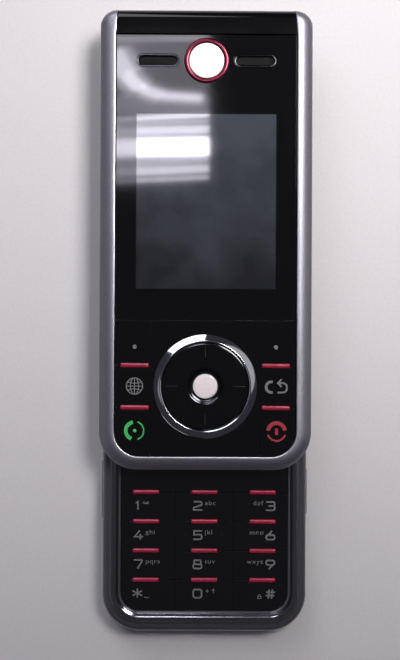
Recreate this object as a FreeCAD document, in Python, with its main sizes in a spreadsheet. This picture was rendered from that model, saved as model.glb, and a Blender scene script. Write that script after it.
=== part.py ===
import FreeCAD, Part
import math
import os
import re
import Sketcher

# Sliding telephone, built as two halves that run on a pair of steel rails.
# Millimetres.  The phone lies on its back: +Z is up out of the keys and the
# display, +Y runs toward the earpiece, +X to the right.  The origin is the
# middle of the keypad half's flat back.  Everything is drawn with the phone
# slid open, which is its resting pose.

SIZES = {
    # Overall
    "body_length": 108.5,
    "base_height": 8.7,
    "base_narrower": 1.0,
    "slider_width": 50.0,
    "slider_height": 6.3,
    "slide_travel": 39.5,
    "half_gap": 0.3,
    "end_corner": 9.0,
    "cap_corner": 4.0,
    "back_edge_round": 2.0,
    # Keypad half, shell
    "split_level": 5.4,
    "rim_height": 0.7,
    "rim_width": 2.65,
    "flank_width": 1.9,
    "chin": 2.05,
    "end_rim_width": 3.1,
    "deck_thickness": 1.2,
    "side_wall": 1.7,
    "flank_round": 1.75,
    "floor_level": 1.9,
    "rim_round": 0.42,
    "plate_corner": 4.4,
    "fit_gap": 0.1,
    "key_gap": 0.12,
    # Battery, its cover and its well
    "cover_thickness": 1.0,
    "cover_travel": 6.0,
    "well_bottom": -26.6,
    "well_top": 23.4,
    "well_roof": 4.9,
    "battery_gap": 0.3,
    "sim_thickness": 0.5,
    # Boards
    "board_thickness": 0.7,
    "keypad_board_thickness": 0.4,
    "dome_width": 3.6,
    "dome_height": 0.2,
    # Number keys
    "row_pitch": 7.02,
    "rows_from_end": 33.55,
    "header_height": 9.5,
    "key_recess": 0.1,
    "key_thickness": 0.6,
    "plunger_width": 2.4,
    "plunger_height": 0.3,
    "key_travel": 0.25,
    "bar_length": 6.3,
    "bar_width": 1.0,
    "bar_proud": 0.45,
    # Slide module
    "steel": 0.4,
    "rail_length": 40.0,
    "lip_width": 1.2,
    "run_gap": 0.3,
    "channel_depth": 1.4,
    "pad_thickness": 0.15,
    "pin_diameter": 1.5,
    "base_pin_y": 15.0,
    "slider_pin_x": 6.2,
    "spring_wire": 0.6,
    # Side keys
    "side_key_bottom": 2.7,
    "side_key_top": 4.9,
    "side_key_proud": 0.35,
    # Parts in the upper bay of the keypad half
    "camera_window_diameter": 9.0,
    "motor_diameter": 3.4,
    "socket_width": 7.4,
    # Screws
    "screw_head": 2.4,
    "screw_head_height": 0.5,
    "screw_shank": 1.3,
    "screw_hole": 1.5,
    # Display half
    "side_rail": 3.55,
    "end_band": 3.1,
    "inner_corner": 6.0,
    "frame_round": 2.3,
    "frame_chamfer": 0.42,
    "back_cover_round": 1.1,
    "lens_gap": 0.25,
    "lens_thickness": 0.9,
    "seam_from_end": 35.2,
    "lens_top_from_end": 102.4,
    "seam_gap": 0.12,
    "cap_slant": 0.5,
    "cap_round": 3.2,
    "chassis_floor": 0.6,
    "chassis_wall": 0.9,
    "panel_low_from_end": 39.0,
    "panel_high_from_end": 86.5,
    "panel_thickness": 2.4,
    "emblem_from_end": 96.3,
    "emblem_disc_diameter": 8.3,
    "emblem_ring_diameter": 10.5,
    "slot_x": 11.46,
    "slot_length": 9.8,
    "slot_width": 2.9,
    "slot_rim": 0.55,
    # Front keys
    "front_bar_width": 1.05,
    "front_bar_proud": 0.15,
    "upper_bar_from_end": 24.6,
    "lower_bar_from_end": 14.7,
    "nav_from_end": 19.7,
    "nav_ring_outer": 24.4,
    "nav_ring_width": 1.75,
    "nav_proud": 0.5,
    "select_diameter": 5.8,
    "collar_diameter": 8.6,
    "collar_dish": 0.6,
}

# Sizes that follow from the others.
RULES = {
    "base_width": "slider_width - base_narrower",
    "deck_level": "base_height - rim_height",
    "key_face": "deck_level - key_recess",
    "rim_half_width": "base_width / 2 - flank_width",
    "plate_half_width": "rim_half_width - rim_width",
    "rim_end": "body_length / 2 - chin",
    "plate_end": "rim_end - end_rim_width",
    "board_half_width": "plate_half_width - 0.15",
    "column_pitch": "(2 * plate_half_width + 2.1) / 3",
    "well_half_width": "base_width / 2 - 6.9",
    "cover_top": "body_length / 2 - 24.25",
    "camera_y": "body_length / 2 - 12.25",
    "speaker_width": "base_width / 2 - 11.5",
    "speaker_x": "-6 - speaker_width / 2",
    "motor_x": "base_width / 2 - 12.5",
    "socket_y": "body_length / 2 - 21.75",
    "first_row": "rows_from_end - body_length / 2",
    "header_top": "first_row + header_height",
    "volume_low": "first_row - 6.7",
    "volume_high": "first_row + 7.2",
    "camera_key_low": "first_row - 5.5",
    "camera_key_high": "first_row + 5.4",
    "rail_bottom": "header_top + 1.2",
    "rail_half_width": "base_width / 2 - 8.7",
    "rail_plate_top": "body_length / 2 - 4.25",
    "base_pin_x": "rail_half_width - 2.8",
    "spring_swing": "(rail_half_width - 3.5) / 2 - 2.75",
    "lip_top": "base_height + half_gap + channel_depth - steel",
    "lens_level": "slider_height - 0.3",
    "front_board_level": "lens_level - 2",
    "centre_half_width": "nav_ring_outer / 2 + 0.64",
    "panel_half_width": "slider_width / 2 - 6.3",
    "front_bar_length": "slider_width / 2 - side_rail - lens_gap - centre_half_width - 1.71",
    "front_bar_x": "centre_half_width + 0.435 + front_bar_length / 2",
    "nav_ring_inner": "nav_ring_outer - 2 * nav_ring_width",
    "nav_dome_radius": "nav_ring_inner / 2 - 2.05",
}

doc = FreeCAD.newDocument("slider_phone")
sheet = doc.addObject("Spreadsheet::Sheet", "Sizes")
for row, (word, size) in enumerate(SIZES.items(), start=1):
    sheet.set("A%d" % row, word)
    sheet.set("B%d" % row, "%.6g" % size)
    sheet.setAlias("B%d" % row, word)
doc.recompute()

X_AXIS = FreeCAD.Vector(1, 0, 0)
Y_AXIS = FreeCAD.Vector(0, 1, 0)
Z_AXIS = FreeCAD.Vector(0, 0, 1)


# ---------------------------------------------------------------- helpers

def bound(text):
    """The expression with every size word pointed at its cell in the sheet."""
    def cell(found):
        word = found.group(0)
        if word in RULES:
            return "(%s)" % bound(RULES[word])
        return "Sizes." + word if word in SIZES else word
    return re.sub(r"[a-z][a-z_]+", cell, str(text))


def value(text):
    """What an expression comes to, in millimetres."""
    return float(sheet.evalExpression(bound(text)))


def new_body(label, across="0", along="0", up="0"):
    """A body named after its part, standing at a place bound to the sheet."""
    body = doc.addObject("PartDesign::Body", label)
    body.Label = label
    body.AllowCompound = True
    for axis, text in (("x", across), ("y", along), ("z", up)):
        if text != "0":
            body.setExpression("Placement.Base." + axis, bound(text))
    return body


def slider_body(label):
    """A body of the display half, drawn from the middle of that half's back."""
    return new_body(label, "0", "slide_travel", "base_height + half_gap")


def new_sketch(body, level, plane):
    """An empty sketch on one of the body's own planes, lifted to a level."""
    sketch = body.newObject("Sketcher::SketchObject", body.Name + "_sketch")
    own = [feature for feature in body.Origin.OriginFeatures if feature.Role == plane]
    sketch.AttachmentSupport = (own[0], [""])
    sketch.MapMode = "FlatFace"
    sketch.setExpression("AttachmentOffset.Base.z", bound(level))
    return sketch


def bind(sketch, kind, *where):
    """Add one dimension whose size is an expression, given last."""
    text = where[-1]
    number = sketch.addConstraint(Sketcher.Constraint(kind, *where[:-1], value(text)))
    label = "size_%d" % number
    sketch.renameConstraint(number, label)
    sketch.setExpression("Constraints." + label, bound(text))


def add_loop(sketch, corners):
    """Draw one closed loop through corners: pairs of expressions, with a third for a rounded one."""
    spots = [FreeCAD.Vector(value(corner[0]), value(corner[1]), 0) for corner in corners]
    count = len(corners)
    starts = list(spots)
    ends = list(spots)
    arcs = {}
    for index, corner in enumerate(corners):
        if len(corner) == 2:
            continue
        radius = value(corner[2])
        here = spots[index]
        back = (spots[index - 1] - here).normalize()
        onward = (spots[(index + 1) % count] - here).normalize()
        half_angle = back.getAngle(onward) / 2
        ends[index] = here + back * (radius / math.tan(half_angle))
        starts[index] = here + onward * (radius / math.tan(half_angle))
        centre = here + (back + onward).normalize() * (radius / math.sin(half_angle))
        middle = centre + (here - centre).normalize() * radius
        arcs[index] = Part.Arc(ends[index], middle, starts[index])
    lines = [sketch.addGeometry(Part.LineSegment(starts[index], ends[(index + 1) % count]))
             for index in range(count)]
    for index, corner in enumerate(corners):
        into = lines[index - 1]
        away = lines[index]
        if index not in arcs:
            sketch.addConstraint(Sketcher.Constraint("Coincident", into, 2, away, 1))
            bind(sketch, "DistanceX", -1, 1, away, 1, corner[0])
            bind(sketch, "DistanceY", -1, 1, away, 1, corner[1])
            continue
        arc = sketch.addGeometry(arcs[index])
        first, last = (1, 2) if sketch.Geometry[arc].StartPoint.isEqual(ends[index], 1e-6) else (2, 1)
        tip = sketch.addGeometry(Part.Point(spots[index]), True)
        sketch.addConstraint([Sketcher.Constraint("Tangent", into, 2, arc, first),
                              Sketcher.Constraint("Tangent", away, 1, arc, last),
                              Sketcher.Constraint("PointOnObject", tip, 1, into),
                              Sketcher.Constraint("PointOnObject", tip, 1, away)])
        bind(sketch, "DistanceX", -1, 1, tip, 1, corner[0])
        bind(sketch, "DistanceY", -1, 1, tip, 1, corner[1])
        bind(sketch, "Radius", arc, corner[2])


def add_circle(sketch, across, along, diameter):
    """Draw one circle."""
    centre = FreeCAD.Vector(value(across), value(along), 0)
    circle = sketch.addGeometry(Part.Circle(centre, Z_AXIS, value(diameter) / 2))
    bind(sketch, "DistanceX", -1, 1, circle, 3, across)
    bind(sketch, "DistanceY", -1, 1, circle, 3, along)
    bind(sketch, "Diameter", circle, diameter)


def outline(body, corners, level="0", plane="XY_Plane"):
    """A sketch holding one closed loop."""
    sketch = new_sketch(body, level, plane)
    add_loop(sketch, corners)
    return sketch


def rectangle(left, right, low, high):
    """The corners of a rectangle, as expressions."""
    return [(left, low), (right, low), (right, high), (left, high)]


def centred(half_width, low, high):
    """The corners of a rectangle that lies evenly about the long axis."""
    return rectangle("-(%s)" % half_width, half_width, low, high)


def rounded(corners, *radii):
    """The same corners, each with the radius listed for it; None leaves one sharp."""
    return [corner if radius is None else corner + (radius,) for corner, radius in zip(corners, radii)]


def circles(body, spots, diameter, level="0", plane="XY_Plane"):
    """A sketch holding equal circles."""
    sketch = new_sketch(body, level, plane)
    for across, along in spots:
        add_circle(sketch, across, along, diameter)
    return sketch


def settle(body, feature):
    """Compute a new feature, and stop if it fails."""
    doc.recompute()
    if not feature.isValid() or feature.Shape.isNull() or not feature.Shape.isValid():
        raise ValueError("%s fails in %s" % (feature.Name, body.Label))
    return feature


def pad(body, sketch, height, down=False):
    """Raise a sketch into material, up from its level or down from it."""
    feature = body.newObject("PartDesign::Pad", body.Name + "_pad")
    feature.Profile = sketch
    feature.setExpression("Length", bound(height))
    feature.Reversed = down
    return settle(body, feature)


def cut(body, sketch, depth, up=False):
    """Cut a sketch down into the material below its level, or up above it."""
    before = body.Shape.Volume
    feature = body.newObject("PartDesign::Pocket", body.Name + "_pocket")
    feature.Profile = sketch
    feature.setExpression("Length", bound(depth))
    feature.Reversed = up
    settle(body, feature)
    if not body.Shape.Volume < before - 1e-6:
        raise ValueError("a pocket in %s takes nothing away" % body.Label)
    return feature


def dress(body, kind, size, chosen):
    """Round or chamfer the edges of a body that pass a test."""
    tip = body.Tip
    names = ["Edge%d" % number for number, edge in enumerate(tip.Shape.Edges, start=1) if chosen(edge)]
    if not names:
        raise ValueError("no edge to %s in %s" % (kind, body.Label))
    feature = body.newObject("PartDesign::" + kind, body.Name + "_" + kind.lower())
    feature.Base = (tip, names)
    feature.setExpression("Radius" if kind == "Fillet" else "Size", bound(size))
    return settle(body, feature)


def upright(edge):
    """Whether an edge runs straight up."""
    box = edge.BoundBox
    return box.XLength < 1e-4 and box.YLength < 1e-4 and box.ZLength > 1e-4


def corner_at(*spots):
    """A test for upright edges that stand at given places."""
    places = [(value(a), value(b)) for a, b in spots]

    def chosen(edge):
        middle = edge.BoundBox.Center
        return upright(edge) and any(math.hypot(middle.x - x, middle.y - y) < 0.05 for x, y in places)
    return chosen


def level_at(level, inside=None):
    """A test for edges that lie flat at a level, and wholly inside a half width and reach if given."""
    height = value(level)

    def chosen(edge):
        box = edge.BoundBox
        return abs(box.ZMin - height) < 1e-4 and abs(box.ZMax - height) < 1e-4 and (
            inside is None or inside(box))
    return chosen


def block(body, left, right, low, high, bottom, height):
    """Pad one plain block."""
    return pad(body, outline(body, rectangle(left, right, low, high), bottom), height)


def slot(body, left, right, low, high, top, depth):
    """Cut one plain rectangular hole down from a level."""
    return cut(body, outline(body, rectangle(left, right, low, high), top), depth)


def posts(body, spots, diameter, bottom, height):
    """Pad equal round posts."""
    return pad(body, circles(body, spots, diameter, bottom), height)


def studs(body, spots, width, bottom, height):
    """Pad equal square studs: four-legged snap domes, and the plungers that press them."""
    sketch = new_sketch(body, bottom, "XY_Plane")
    half = "(%s) / 2" % width
    for across, along in spots:
        add_loop(sketch, rectangle("%s - %s" % (across, half), "%s + %s" % (across, half),
                                   "%s - %s" % (along, half), "%s + %s" % (along, half)))
    return pad(body, sketch, height)


def holes(body, spots, diameter, top, depth):
    """Cut equal round holes down from a level."""
    return cut(body, circles(body, spots, diameter, top), depth)


def mirrored(*spots):
    """Each place and its twin across the long axis."""
    return [(sign % across, along) for across, along in spots for sign in ("%s", "-(%s)")]


END = "body_length / 2"
HALF = "base_width / 2"
SLIDER_HALF = "slider_width / 2"
BASE_SCREWS = mirrored((HALF + " - 2.6", "10.75 - " + END), (HALF + " - 2.6", END + " - 9.75"))
DECK_SCREWS = mirrored(("9.5", "rail_bottom + 3"), ("9.5", "rail_plate_top - 3.5"))

# ------------------------------------------------- keypad half: the shell


def shell_blank(body):
    """The outer block of the back: rounded at its four corners and along its back edge."""
    pad(body, outline(body, rounded(centred(HALF, "-" + END, END), *4 * ["end_corner"])), "split_level")
    dress(body, "Fillet", "back_edge_round", level_at("0"))


rear = new_body("base_rear_housing")
shell_blank(rear)
# The hollow inside, which leaves an island of material around the battery well.
hollow = new_sketch(rear, "split_level", "XY_Plane")
inner_half = HALF + " - side_wall"
inner_end = END + " - side_wall"
add_loop(hollow, rounded(centred(inner_half, "-(%s)" % inner_end, inner_end),
                         *4 * ["end_corner - side_wall"]))
add_loop(hollow, centred("well_half_width + 1", "well_bottom - 1", "well_top + 1"))
cut(rear, hollow, "split_level - floor_level")
posts(rear, BASE_SCREWS, "3.6", "floor_level - 0.1", "split_level - floor_level + 0.1")
# The seat of the battery cover, and the well above it.
cut(rear, outline(rear, centred("base_width", "-body_length", "cover_top + fit_gap"),
                  "cover_thickness + fit_gap"), "3")
cut(rear, outline(rear, centred("well_half_width", "well_bottom", "well_top"), "well_roof"),
    "well_roof")
# Openings: camera window, sound slots, side keys, socket, screws.
holes(rear, [("0", "camera_y")], "camera_window_diameter + 2 * fit_gap", "0.8", "1")
holes(rear, [("0", "camera_y")], "camera_window_diameter - 1.6", "floor_level + 0.1", "3")
sound = new_sketch(rear, "floor_level + 0.1", "XY_Plane")
for step in range(4):
    low = "camera_y - 3.6 + %.1f" % (1.9 * step)
    add_loop(sound, rectangle("speaker_x - 3.5", "speaker_x + 3.5", low, low + " + 0.9"))
cut(rear, sound, "3")
slot(rear, "-base_width", "-(%s) + 0.5" % inner_half, "volume_low - 0.2", "volume_high + 0.2",
     "side_key_top + fit_gap", "side_key_top - side_key_bottom + 2 * fit_gap")
slot(rear, inner_half + " - 0.5", "base_width", "camera_key_low - 0.2", "camera_key_high + 0.2",
     "side_key_top + fit_gap", "side_key_top - side_key_bottom + 2 * fit_gap")
slot(rear, "-base_width", "-(%s) + 0.5" % inner_half, "socket_y - socket_width / 2 - fit_gap",
     "socket_y + socket_width / 2 + fit_gap", "split_level", "2.7 + fit_gap")
holes(rear, BASE_SCREWS, "screw_hole", "split_level", "split_level")
holes(rear, BASE_SCREWS, "screw_head + 0.2", "floor_level - 0.1", "floor_level")

cover = new_body("battery_cover")
shell_blank(cover)
cut(cover, outline(cover, centred("base_width", "-body_length", "body_length"), "split_level"),
    "split_level - cover_thickness")
slot(cover, "-base_width", "base_width", "cover_top", "body_length", "split_level", "split_level + 1")
grip = new_sketch(cover, "0", "XY_Plane")
for step in range(3):
    low = "%.1f - body_length / 2" % (10.25 + 2.2 * step)
    add_loop(grip, centred("5", low, low + " + 1.2"))
cut(cover, grip, "0.35", up=True)

bezel = new_body("base_front_bezel")
pad(bezel, outline(bezel, rounded(centred(HALF, "-" + END, END), *4 * ["end_corner"]), "split_level"),
    "deck_level - split_level")
dress(bezel, "Fillet", "flank_round", level_at("deck_level"))
window_half = "plate_half_width + fit_gap"
# The raised rim, then the window for the keys and the hollow under the deck.
rim_level = "deck_level - 0.3"
rim_corner = "end_corner - %s + rim_half_width" % HALF
pad(bezel, outline(bezel, rounded(centred("rim_half_width", "-rim_end", "rim_end"), *4 * [rim_corner]),
                   rim_level), "base_height - deck_level + 0.3")
dress(bezel, "Fillet", "rim_round", level_at("base_height"))
window_corner = "plate_corner + fit_gap"
rim_height = "base_height - deck_level"
low_edge = "-plate_end - fit_gap"
cut(bezel, outline(bezel, rounded(centred(window_half, low_edge, "plate_end + 1.4"), *4 * [window_corner]),
                   "base_height"), rim_height)
inner_rim = value(window_half) + 0.01
dress(bezel, "Fillet", "rim_round", level_at(
    "base_height", lambda box: box.XMax < inner_rim and box.XMin > -inner_rim
    and box.YMax < value("plate_end") + 1.5 and box.YMin > value(low_edge) - 0.1))
cut(bezel, outline(bezel, rounded(centred(window_half, low_edge, "header_top + fit_gap"),
                                  window_corner, window_corner, None, None), "deck_level"), "deck_level")
cut(bezel, outline(bezel, rounded(centred(window_half, "header_top", "plate_end + 1.4"),
                                  None, None, window_corner, window_corner), "deck_level - deck_thickness"),
    "deck_level - deck_thickness - split_level")
holes(bezel, BASE_SCREWS, "screw_hole", "split_level + 1.7", "1.7")
holes(bezel, DECK_SCREWS, "screw_hole", "deck_level", "deck_thickness")
slot(bezel, "-3.6", "3.6", "8.6", "12.4", "deck_level", "deck_thickness")

# ------------------------------------- keypad half: what lies in the shell

board_level = "split_level"
board_top = "split_level + board_thickness"
main_board = new_body("main_board")
board_outline = centred("board_half_width", "-plate_end + 0.3", "plate_end + 1")
pad(main_board, outline(main_board, rounded(board_outline, *4 * ["plate_corner"]), board_level),
    "board_thickness")
for left, right, low, high in (("3.8 - board_half_width", "-5", "14", "26"),
                               ("5", "board_half_width - 3.8", "14", "26"), ("-12", "10", "30", "40")):
    block(main_board, left, right, low, high, board_top, "0.55")
switch_gap = "side_key_bottom + 0.3"
switch_height = board_level + " - side_key_bottom - 0.3"
block(main_board, "well_half_width + 1.1", "board_half_width + 0.8", "first_row - 1.9", "first_row + 1.8",
      switch_gap, switch_height)
for low in ("first_row - 5.7", "first_row + 2.8"):
    block(main_board, "-board_half_width - 0.6", "-well_half_width - 1.1", low, low + " + 3.4",
          switch_gap, switch_height)

battery = new_body("battery")
battery_room = "well_half_width - battery_gap"
block(battery, "-(%s)" % battery_room, battery_room, "well_bottom + battery_gap", "well_top - battery_gap",
      "cover_thickness + fit_gap + 0.05", "well_roof - sim_thickness - cover_thickness - fit_gap - 0.1")
dress(battery, "Fillet", "0.8", upright)

sim_holder = new_body("sim_holder")
block(sim_holder, "-8", "8", "-12", "14", "well_roof - sim_thickness", "sim_thickness")
slot(sim_holder, "-6.2", "6.2", "-9", "11", "well_roof", "sim_thickness")

socket = new_body("usb_socket")
pad(socket, outline(socket, rectangle("0.6 - " + HALF, "6.1 - " + HALF, "socket_y - socket_width / 2",
                                      "socket_y + socket_width / 2"), "split_level - 2.7"), "2.7")
slot(socket, "0.5 - " + HALF, "5.5 - " + HALF, "socket_y - socket_width / 2 + 0.4",
     "socket_y + socket_width / 2 - 0.4", "split_level - 0.4", "1.9")
block(socket, "1.1 - " + HALF, "5.9 - " + HALF, "socket_y - 2", "socket_y + 2", "split_level - 1.6", "0.6")

speaker = new_body("loudspeaker")
speaker_ends = ["speaker_x %s speaker_width / 2" % sign for sign in "-+"]
block(speaker, *speaker_ends, "camera_y - 5", "camera_y + 5", "floor_level", "2.9")
holes(speaker, [("speaker_x", "camera_y")], "7.6", "floor_level + 0.4", "0.5")
dress(speaker, "Fillet", "1.5", corner_at(*[(across, "camera_y %s 5" % sign)
                                            for across in speaker_ends for sign in "+-"]))

camera = new_body("camera_module")
block(camera, "-4.4", "4.4", "camera_y - 4.4", "camera_y + 4.4", "floor_level", "split_level - floor_level")
posts(camera, [("0", "camera_y")], "6.4", "0.95", "floor_level - 0.9")
holes(camera, [("0", "camera_y")], "3", "1.4", "0.5")

camera_window = new_body("camera_window")
posts(camera_window, [("0", "camera_y")], "camera_window_diameter", "0.1", "0.7")

motor_level = "floor_level + motor_diameter / 2"
motor = new_body("vibration_motor", "motor_x", "camera_y - 1", motor_level)
pad(motor, circles(motor, [("0", "0")], "motor_diameter", "0", "YZ_Plane"), "8")
cut(motor, circles(motor, [("0", "0")], "1", "0", "YZ_Plane"), "2", up=True)

weight = new_body("vibration_weight", "motor_x", "camera_y - 1", motor_level)
pad(weight, circles(weight, [("0", "0")], "0.8", "-3.4", "YZ_Plane"), "4.9")
pad(weight, circles(weight, [("0", "0")], "3", "-3.4", "YZ_Plane"), "3")
cut(weight, outline(weight, rectangle("-3", "3", "0.4", "3"), "-3.6", "YZ_Plane"), "3.4", up=True)

keypad_board = new_body("keypad_board")
block(keypad_board, "-board_half_width", "board_half_width", "-plate_end + 0.3", "header_top - 0.1",
      board_top, "keypad_board_thickness")
dress(keypad_board, "Fillet", "plate_corner",
      corner_at(*mirrored(("board_half_width", "-plate_end + 0.3"))))
keypad_top = board_top + " + keypad_board_thickness"

ROWS = ["first_row - %d * row_pitch" % row for row in range(4)]
COLUMNS = ["-column_pitch", "0", "column_pitch"]
side_key_middle = "(column_pitch / 2 + plate_half_width) / 2"
KEY_MIDDLES = ["-" + side_key_middle, "0", side_key_middle]
dome_spots = [(across, along + " - row_pitch / 2") for along in ROWS for across in KEY_MIDDLES]
studs(keypad_board, dome_spots, "dome_width", keypad_top, "dome_height")

bars = new_body("keypad_light_bars")
bar_sketch = new_sketch(bars, keypad_top, "XY_Plane")
for along in ROWS:
    for across in COLUMNS:
        add_loop(bar_sketch, rectangle(across + " - bar_length / 2", across + " + bar_length / 2",
                                       along + " - bar_width / 2", along + " + bar_width / 2"))
pad(bars, bar_sketch, "key_face + bar_proud - (%s)" % keypad_top)


def notch(body, across, along, length, width, top):
    """Clear a key around a light bar."""
    room = " + key_gap"
    slot(body, "%s - %s / 2 - key_gap" % (across, length), "%s + %s / 2%s" % (across, length, room),
         "%s - %s / 2 - key_gap" % (along, width), "%s + %s / 2%s" % (along, width, room), top, top)


header = new_body("keypad_header")
block(header, "-plate_half_width", "plate_half_width", "first_row + key_gap / 2", "header_top",
      keypad_top, "key_face - (%s)" % keypad_top)
for across in COLUMNS:
    notch(header, across, "first_row", "bar_length", "bar_width", "key_face")

# --------------------------------------------- keypad half: the number keys

KEY_NAMES = ["key_1", "key_2", "key_3", "key_4", "key_5", "key_6",
             "key_7", "key_8", "key_9", "key_star", "key_0", "key_hash"]
inset = "key_gap / 2"
for number, name in enumerate(KEY_NAMES):
    row, column = divmod(number, 3)
    edges = ["-plate_half_width", "-column_pitch / 2", "column_pitch / 2", "plate_half_width"]
    left = edges[column] + ("" if column == 0 else " + " + inset)
    right = edges[column + 1] + ("" if column == 2 else " - " + inset)
    low = "-plate_end" if row == 3 else "first_row - %d * row_pitch + %s" % (row + 1, inset)
    high = "first_row - %d * row_pitch - %s" % (row, inset)
    key = new_body(name)
    block(key, left, right, low, high, "key_face - key_thickness", "key_thickness")
    notch(key, COLUMNS[column], ROWS[row], "bar_length", "bar_width", "key_face")
    if row < 3:
        notch(key, COLUMNS[column], ROWS[row + 1], "bar_length", "bar_width", "key_face")
    elif column != 1:
        dress(key, "Fillet", "plate_corner", corner_at((edges[0] if column == 0 else edges[3], low)))
    studs(key, [dome_spots[number]], "plunger_width", "key_face - key_thickness - plunger_height",
          "plunger_height")

# ------------------------------------------------ keypad half: the side keys


def side_key(name, side, low, high, across="0", along="0"):
    """A key through the side wall, held by a wider flange inside it."""
    key = new_body(name, across, along)
    out = ("%s + side_key_proud - (%s)" % (HALF, across)) if side > 0 else (
        "-%s - side_key_proud - (%s)" % (HALF, across))
    wall = ("%s - (%s)" % (inner_half, across)) if side > 0 else "-(%s) - (%s)" % (inner_half, across)
    sign = "-" if side > 0 else "+"
    spans = [(wall + " %s 0.3" % sign, out, low, high, "side_key_bottom"),
             (wall + " %s 0.8" % sign, wall + " %s 0.3" % sign, low + " - 0.7", high + " + 0.7",
              "side_key_bottom")]
    for inner, outer, start, end, bottom in spans:
        left, right = (inner, outer) if side > 0 else (outer, inner)
        block(key, left, right, start, end, bottom, "side_key_top - side_key_bottom")
    return key


camera_key = side_key("camera_key", 1, "camera_key_low", "camera_key_high")
dress(camera_key, "Fillet", "0.3", lambda edge: edge.BoundBox.XMin > value(HALF + " + 0.3"))
volume_middle = "(volume_low + volume_high) / 2"
rocker = side_key("volume_rocker", -1, "volume_low - " + volume_middle, "volume_high - " + volume_middle,
                  "0.55 - (%s)" % inner_half, volume_middle)
dress(rocker, "Fillet", "0.3", lambda edge: edge.BoundBox.XMax < value("-side_wall - 0.85"))
# The pin the rocker tips on.
posts(rocker, [("0", "0")], "0.9", "side_key_bottom - 0.4", "side_key_top - side_key_bottom + 0.8")

# ---------------------------------------------------------- slide module

rail_plate = new_body("rail_plate")
web = "rail_half_width - steel"
lip_edge = web + " + lip_width + steel"
plate_top = "deck_level + steel"
right_hook = [("rail_half_width", "deck_level"), ("rail_half_width", "lip_top - steel"),
              (lip_edge, "lip_top - steel"), (lip_edge, "lip_top"), (web, "lip_top"), (web, plate_top)]
left_hook = [("-(%s)" % across, up) for across, up in reversed(right_hook)]
section = outline(rail_plate, right_hook + left_hook, "-rail_bottom", "XZ_Plane")
pad(rail_plate, section, "rail_length", down=True)
block(rail_plate, "-rail_half_width", "rail_half_width", "rail_bottom + rail_length - 0.1", "rail_plate_top",
      "deck_level", "steel")
base_pins = mirrored(("base_pin_x", "base_pin_y"))
posts(rail_plate, base_pins, "pin_diameter", plate_top, "1.45")
holes(rail_plate, DECK_SCREWS, "screw_hole", plate_top, "steel")
slot(rail_plate, "-3.6", "3.6", "8.6", "12.4", plate_top, "steel")

pads = new_body("rail_glide_pads")
lip_middle = "(rail_half_width + %s) / 2" % lip_edge
for level in ("lip_top", "lip_top - steel - pad_thickness"):
    sketch = new_sketch(pads, level, "XY_Plane")
    for low in ("rail_bottom + 1", "rail_bottom + rail_length - 9"):
        for sign in ("", "-"):
            near = "%s(rail_half_width + 0.1)" % sign
            far = "%s(%s - 0.05)" % (sign, lip_edge)
            left, right = (near, far) if sign == "" else (far, near)
            add_loop(sketch, rectangle(left, right, low, low + " + 8"))
    pad(pads, sketch, "pad_thickness")

slide_plate = slider_body("slide_plate")
channel_wall = lip_edge + " + run_gap"
channel_low = "rail_bottom - slide_travel - 0.8"
channel_high = "rail_bottom + rail_length + 0.8"
ear = channel_wall + " + steel + 1.9"
right_channel = [(channel_wall + " + steel", "channel_depth"), (channel_wall + " + steel", "0"),
                 ("rail_half_width + run_gap", "0"), ("rail_half_width + run_gap", "0.3"),
                 (channel_wall, "0.3"), (channel_wall, "channel_depth")]
left_channel = [("-(%s)" % across, up) for across, up in reversed(right_channel)]
section = outline(slide_plate, [(ear, "channel_depth + steel"), (ear, "channel_depth")] + right_channel
                  + left_channel + [("-(%s)" % ear, "channel_depth"),
                                    ("-(%s)" % ear, "channel_depth + steel")],
                  "-(%s)" % channel_low, "XZ_Plane")
pad(slide_plate, section, "%s - (%s)" % (channel_high, channel_low), down=True)
slider_pin_y = "base_pin_y + slide_travel / 2 - slide_travel"
posts(slide_plate, mirrored(("slider_pin_x", slider_pin_y)), "pin_diameter", "0.15", "channel_depth - 0.15")
slot(slide_plate, "-3.6", "3.6", "3.6", "7.4", "channel_depth + steel", "steel")
# The ears stop short of the frame's rounded corners.
ear_start = channel_wall + " + steel"
for left, right in ((ear_start, "slider_width"), ("-slider_width", "-(%s)" % ear_start)):
    slot(slide_plate, left, right, channel_low + " - 1", channel_low + " + 4.55", "channel_depth + steel",
         "channel_depth")
ear_screw_x = channel_wall + " + steel + 1.05"
ear_screws = mirrored((ear_screw_x, "10.25 - " + END), (ear_screw_x, channel_high + " - 4.8"))
holes(slide_plate, ear_screws, "screw_hole", "channel_depth + steel", "steel")


def bent_path(places, radius):
    """A flat wire through places, its bends rounded."""
    edges = []
    start = places[0]
    for before, here, after in zip(places, places[1:], places[2:]):
        to_here = (here - before).normalize()
        onward = (after - here).normalize()
        turn = to_here.getAngle(onward)
        trim = radius * math.tan(turn / 2)
        arc_start = here - to_here * trim
        arc_end = here + onward * trim
        inward = (onward - to_here).normalize()
        centre = here + inward * (radius / math.cos(turn / 2))
        edges.append(Part.LineSegment(start, arc_start).toShape())
        edges.append(Part.Arc(arc_start, centre - inward * radius, arc_end).toShape())
        start = arc_end
    edges.append(Part.LineSegment(start, places[-1]).toShape())
    return Part.Wire(edges)


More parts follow.
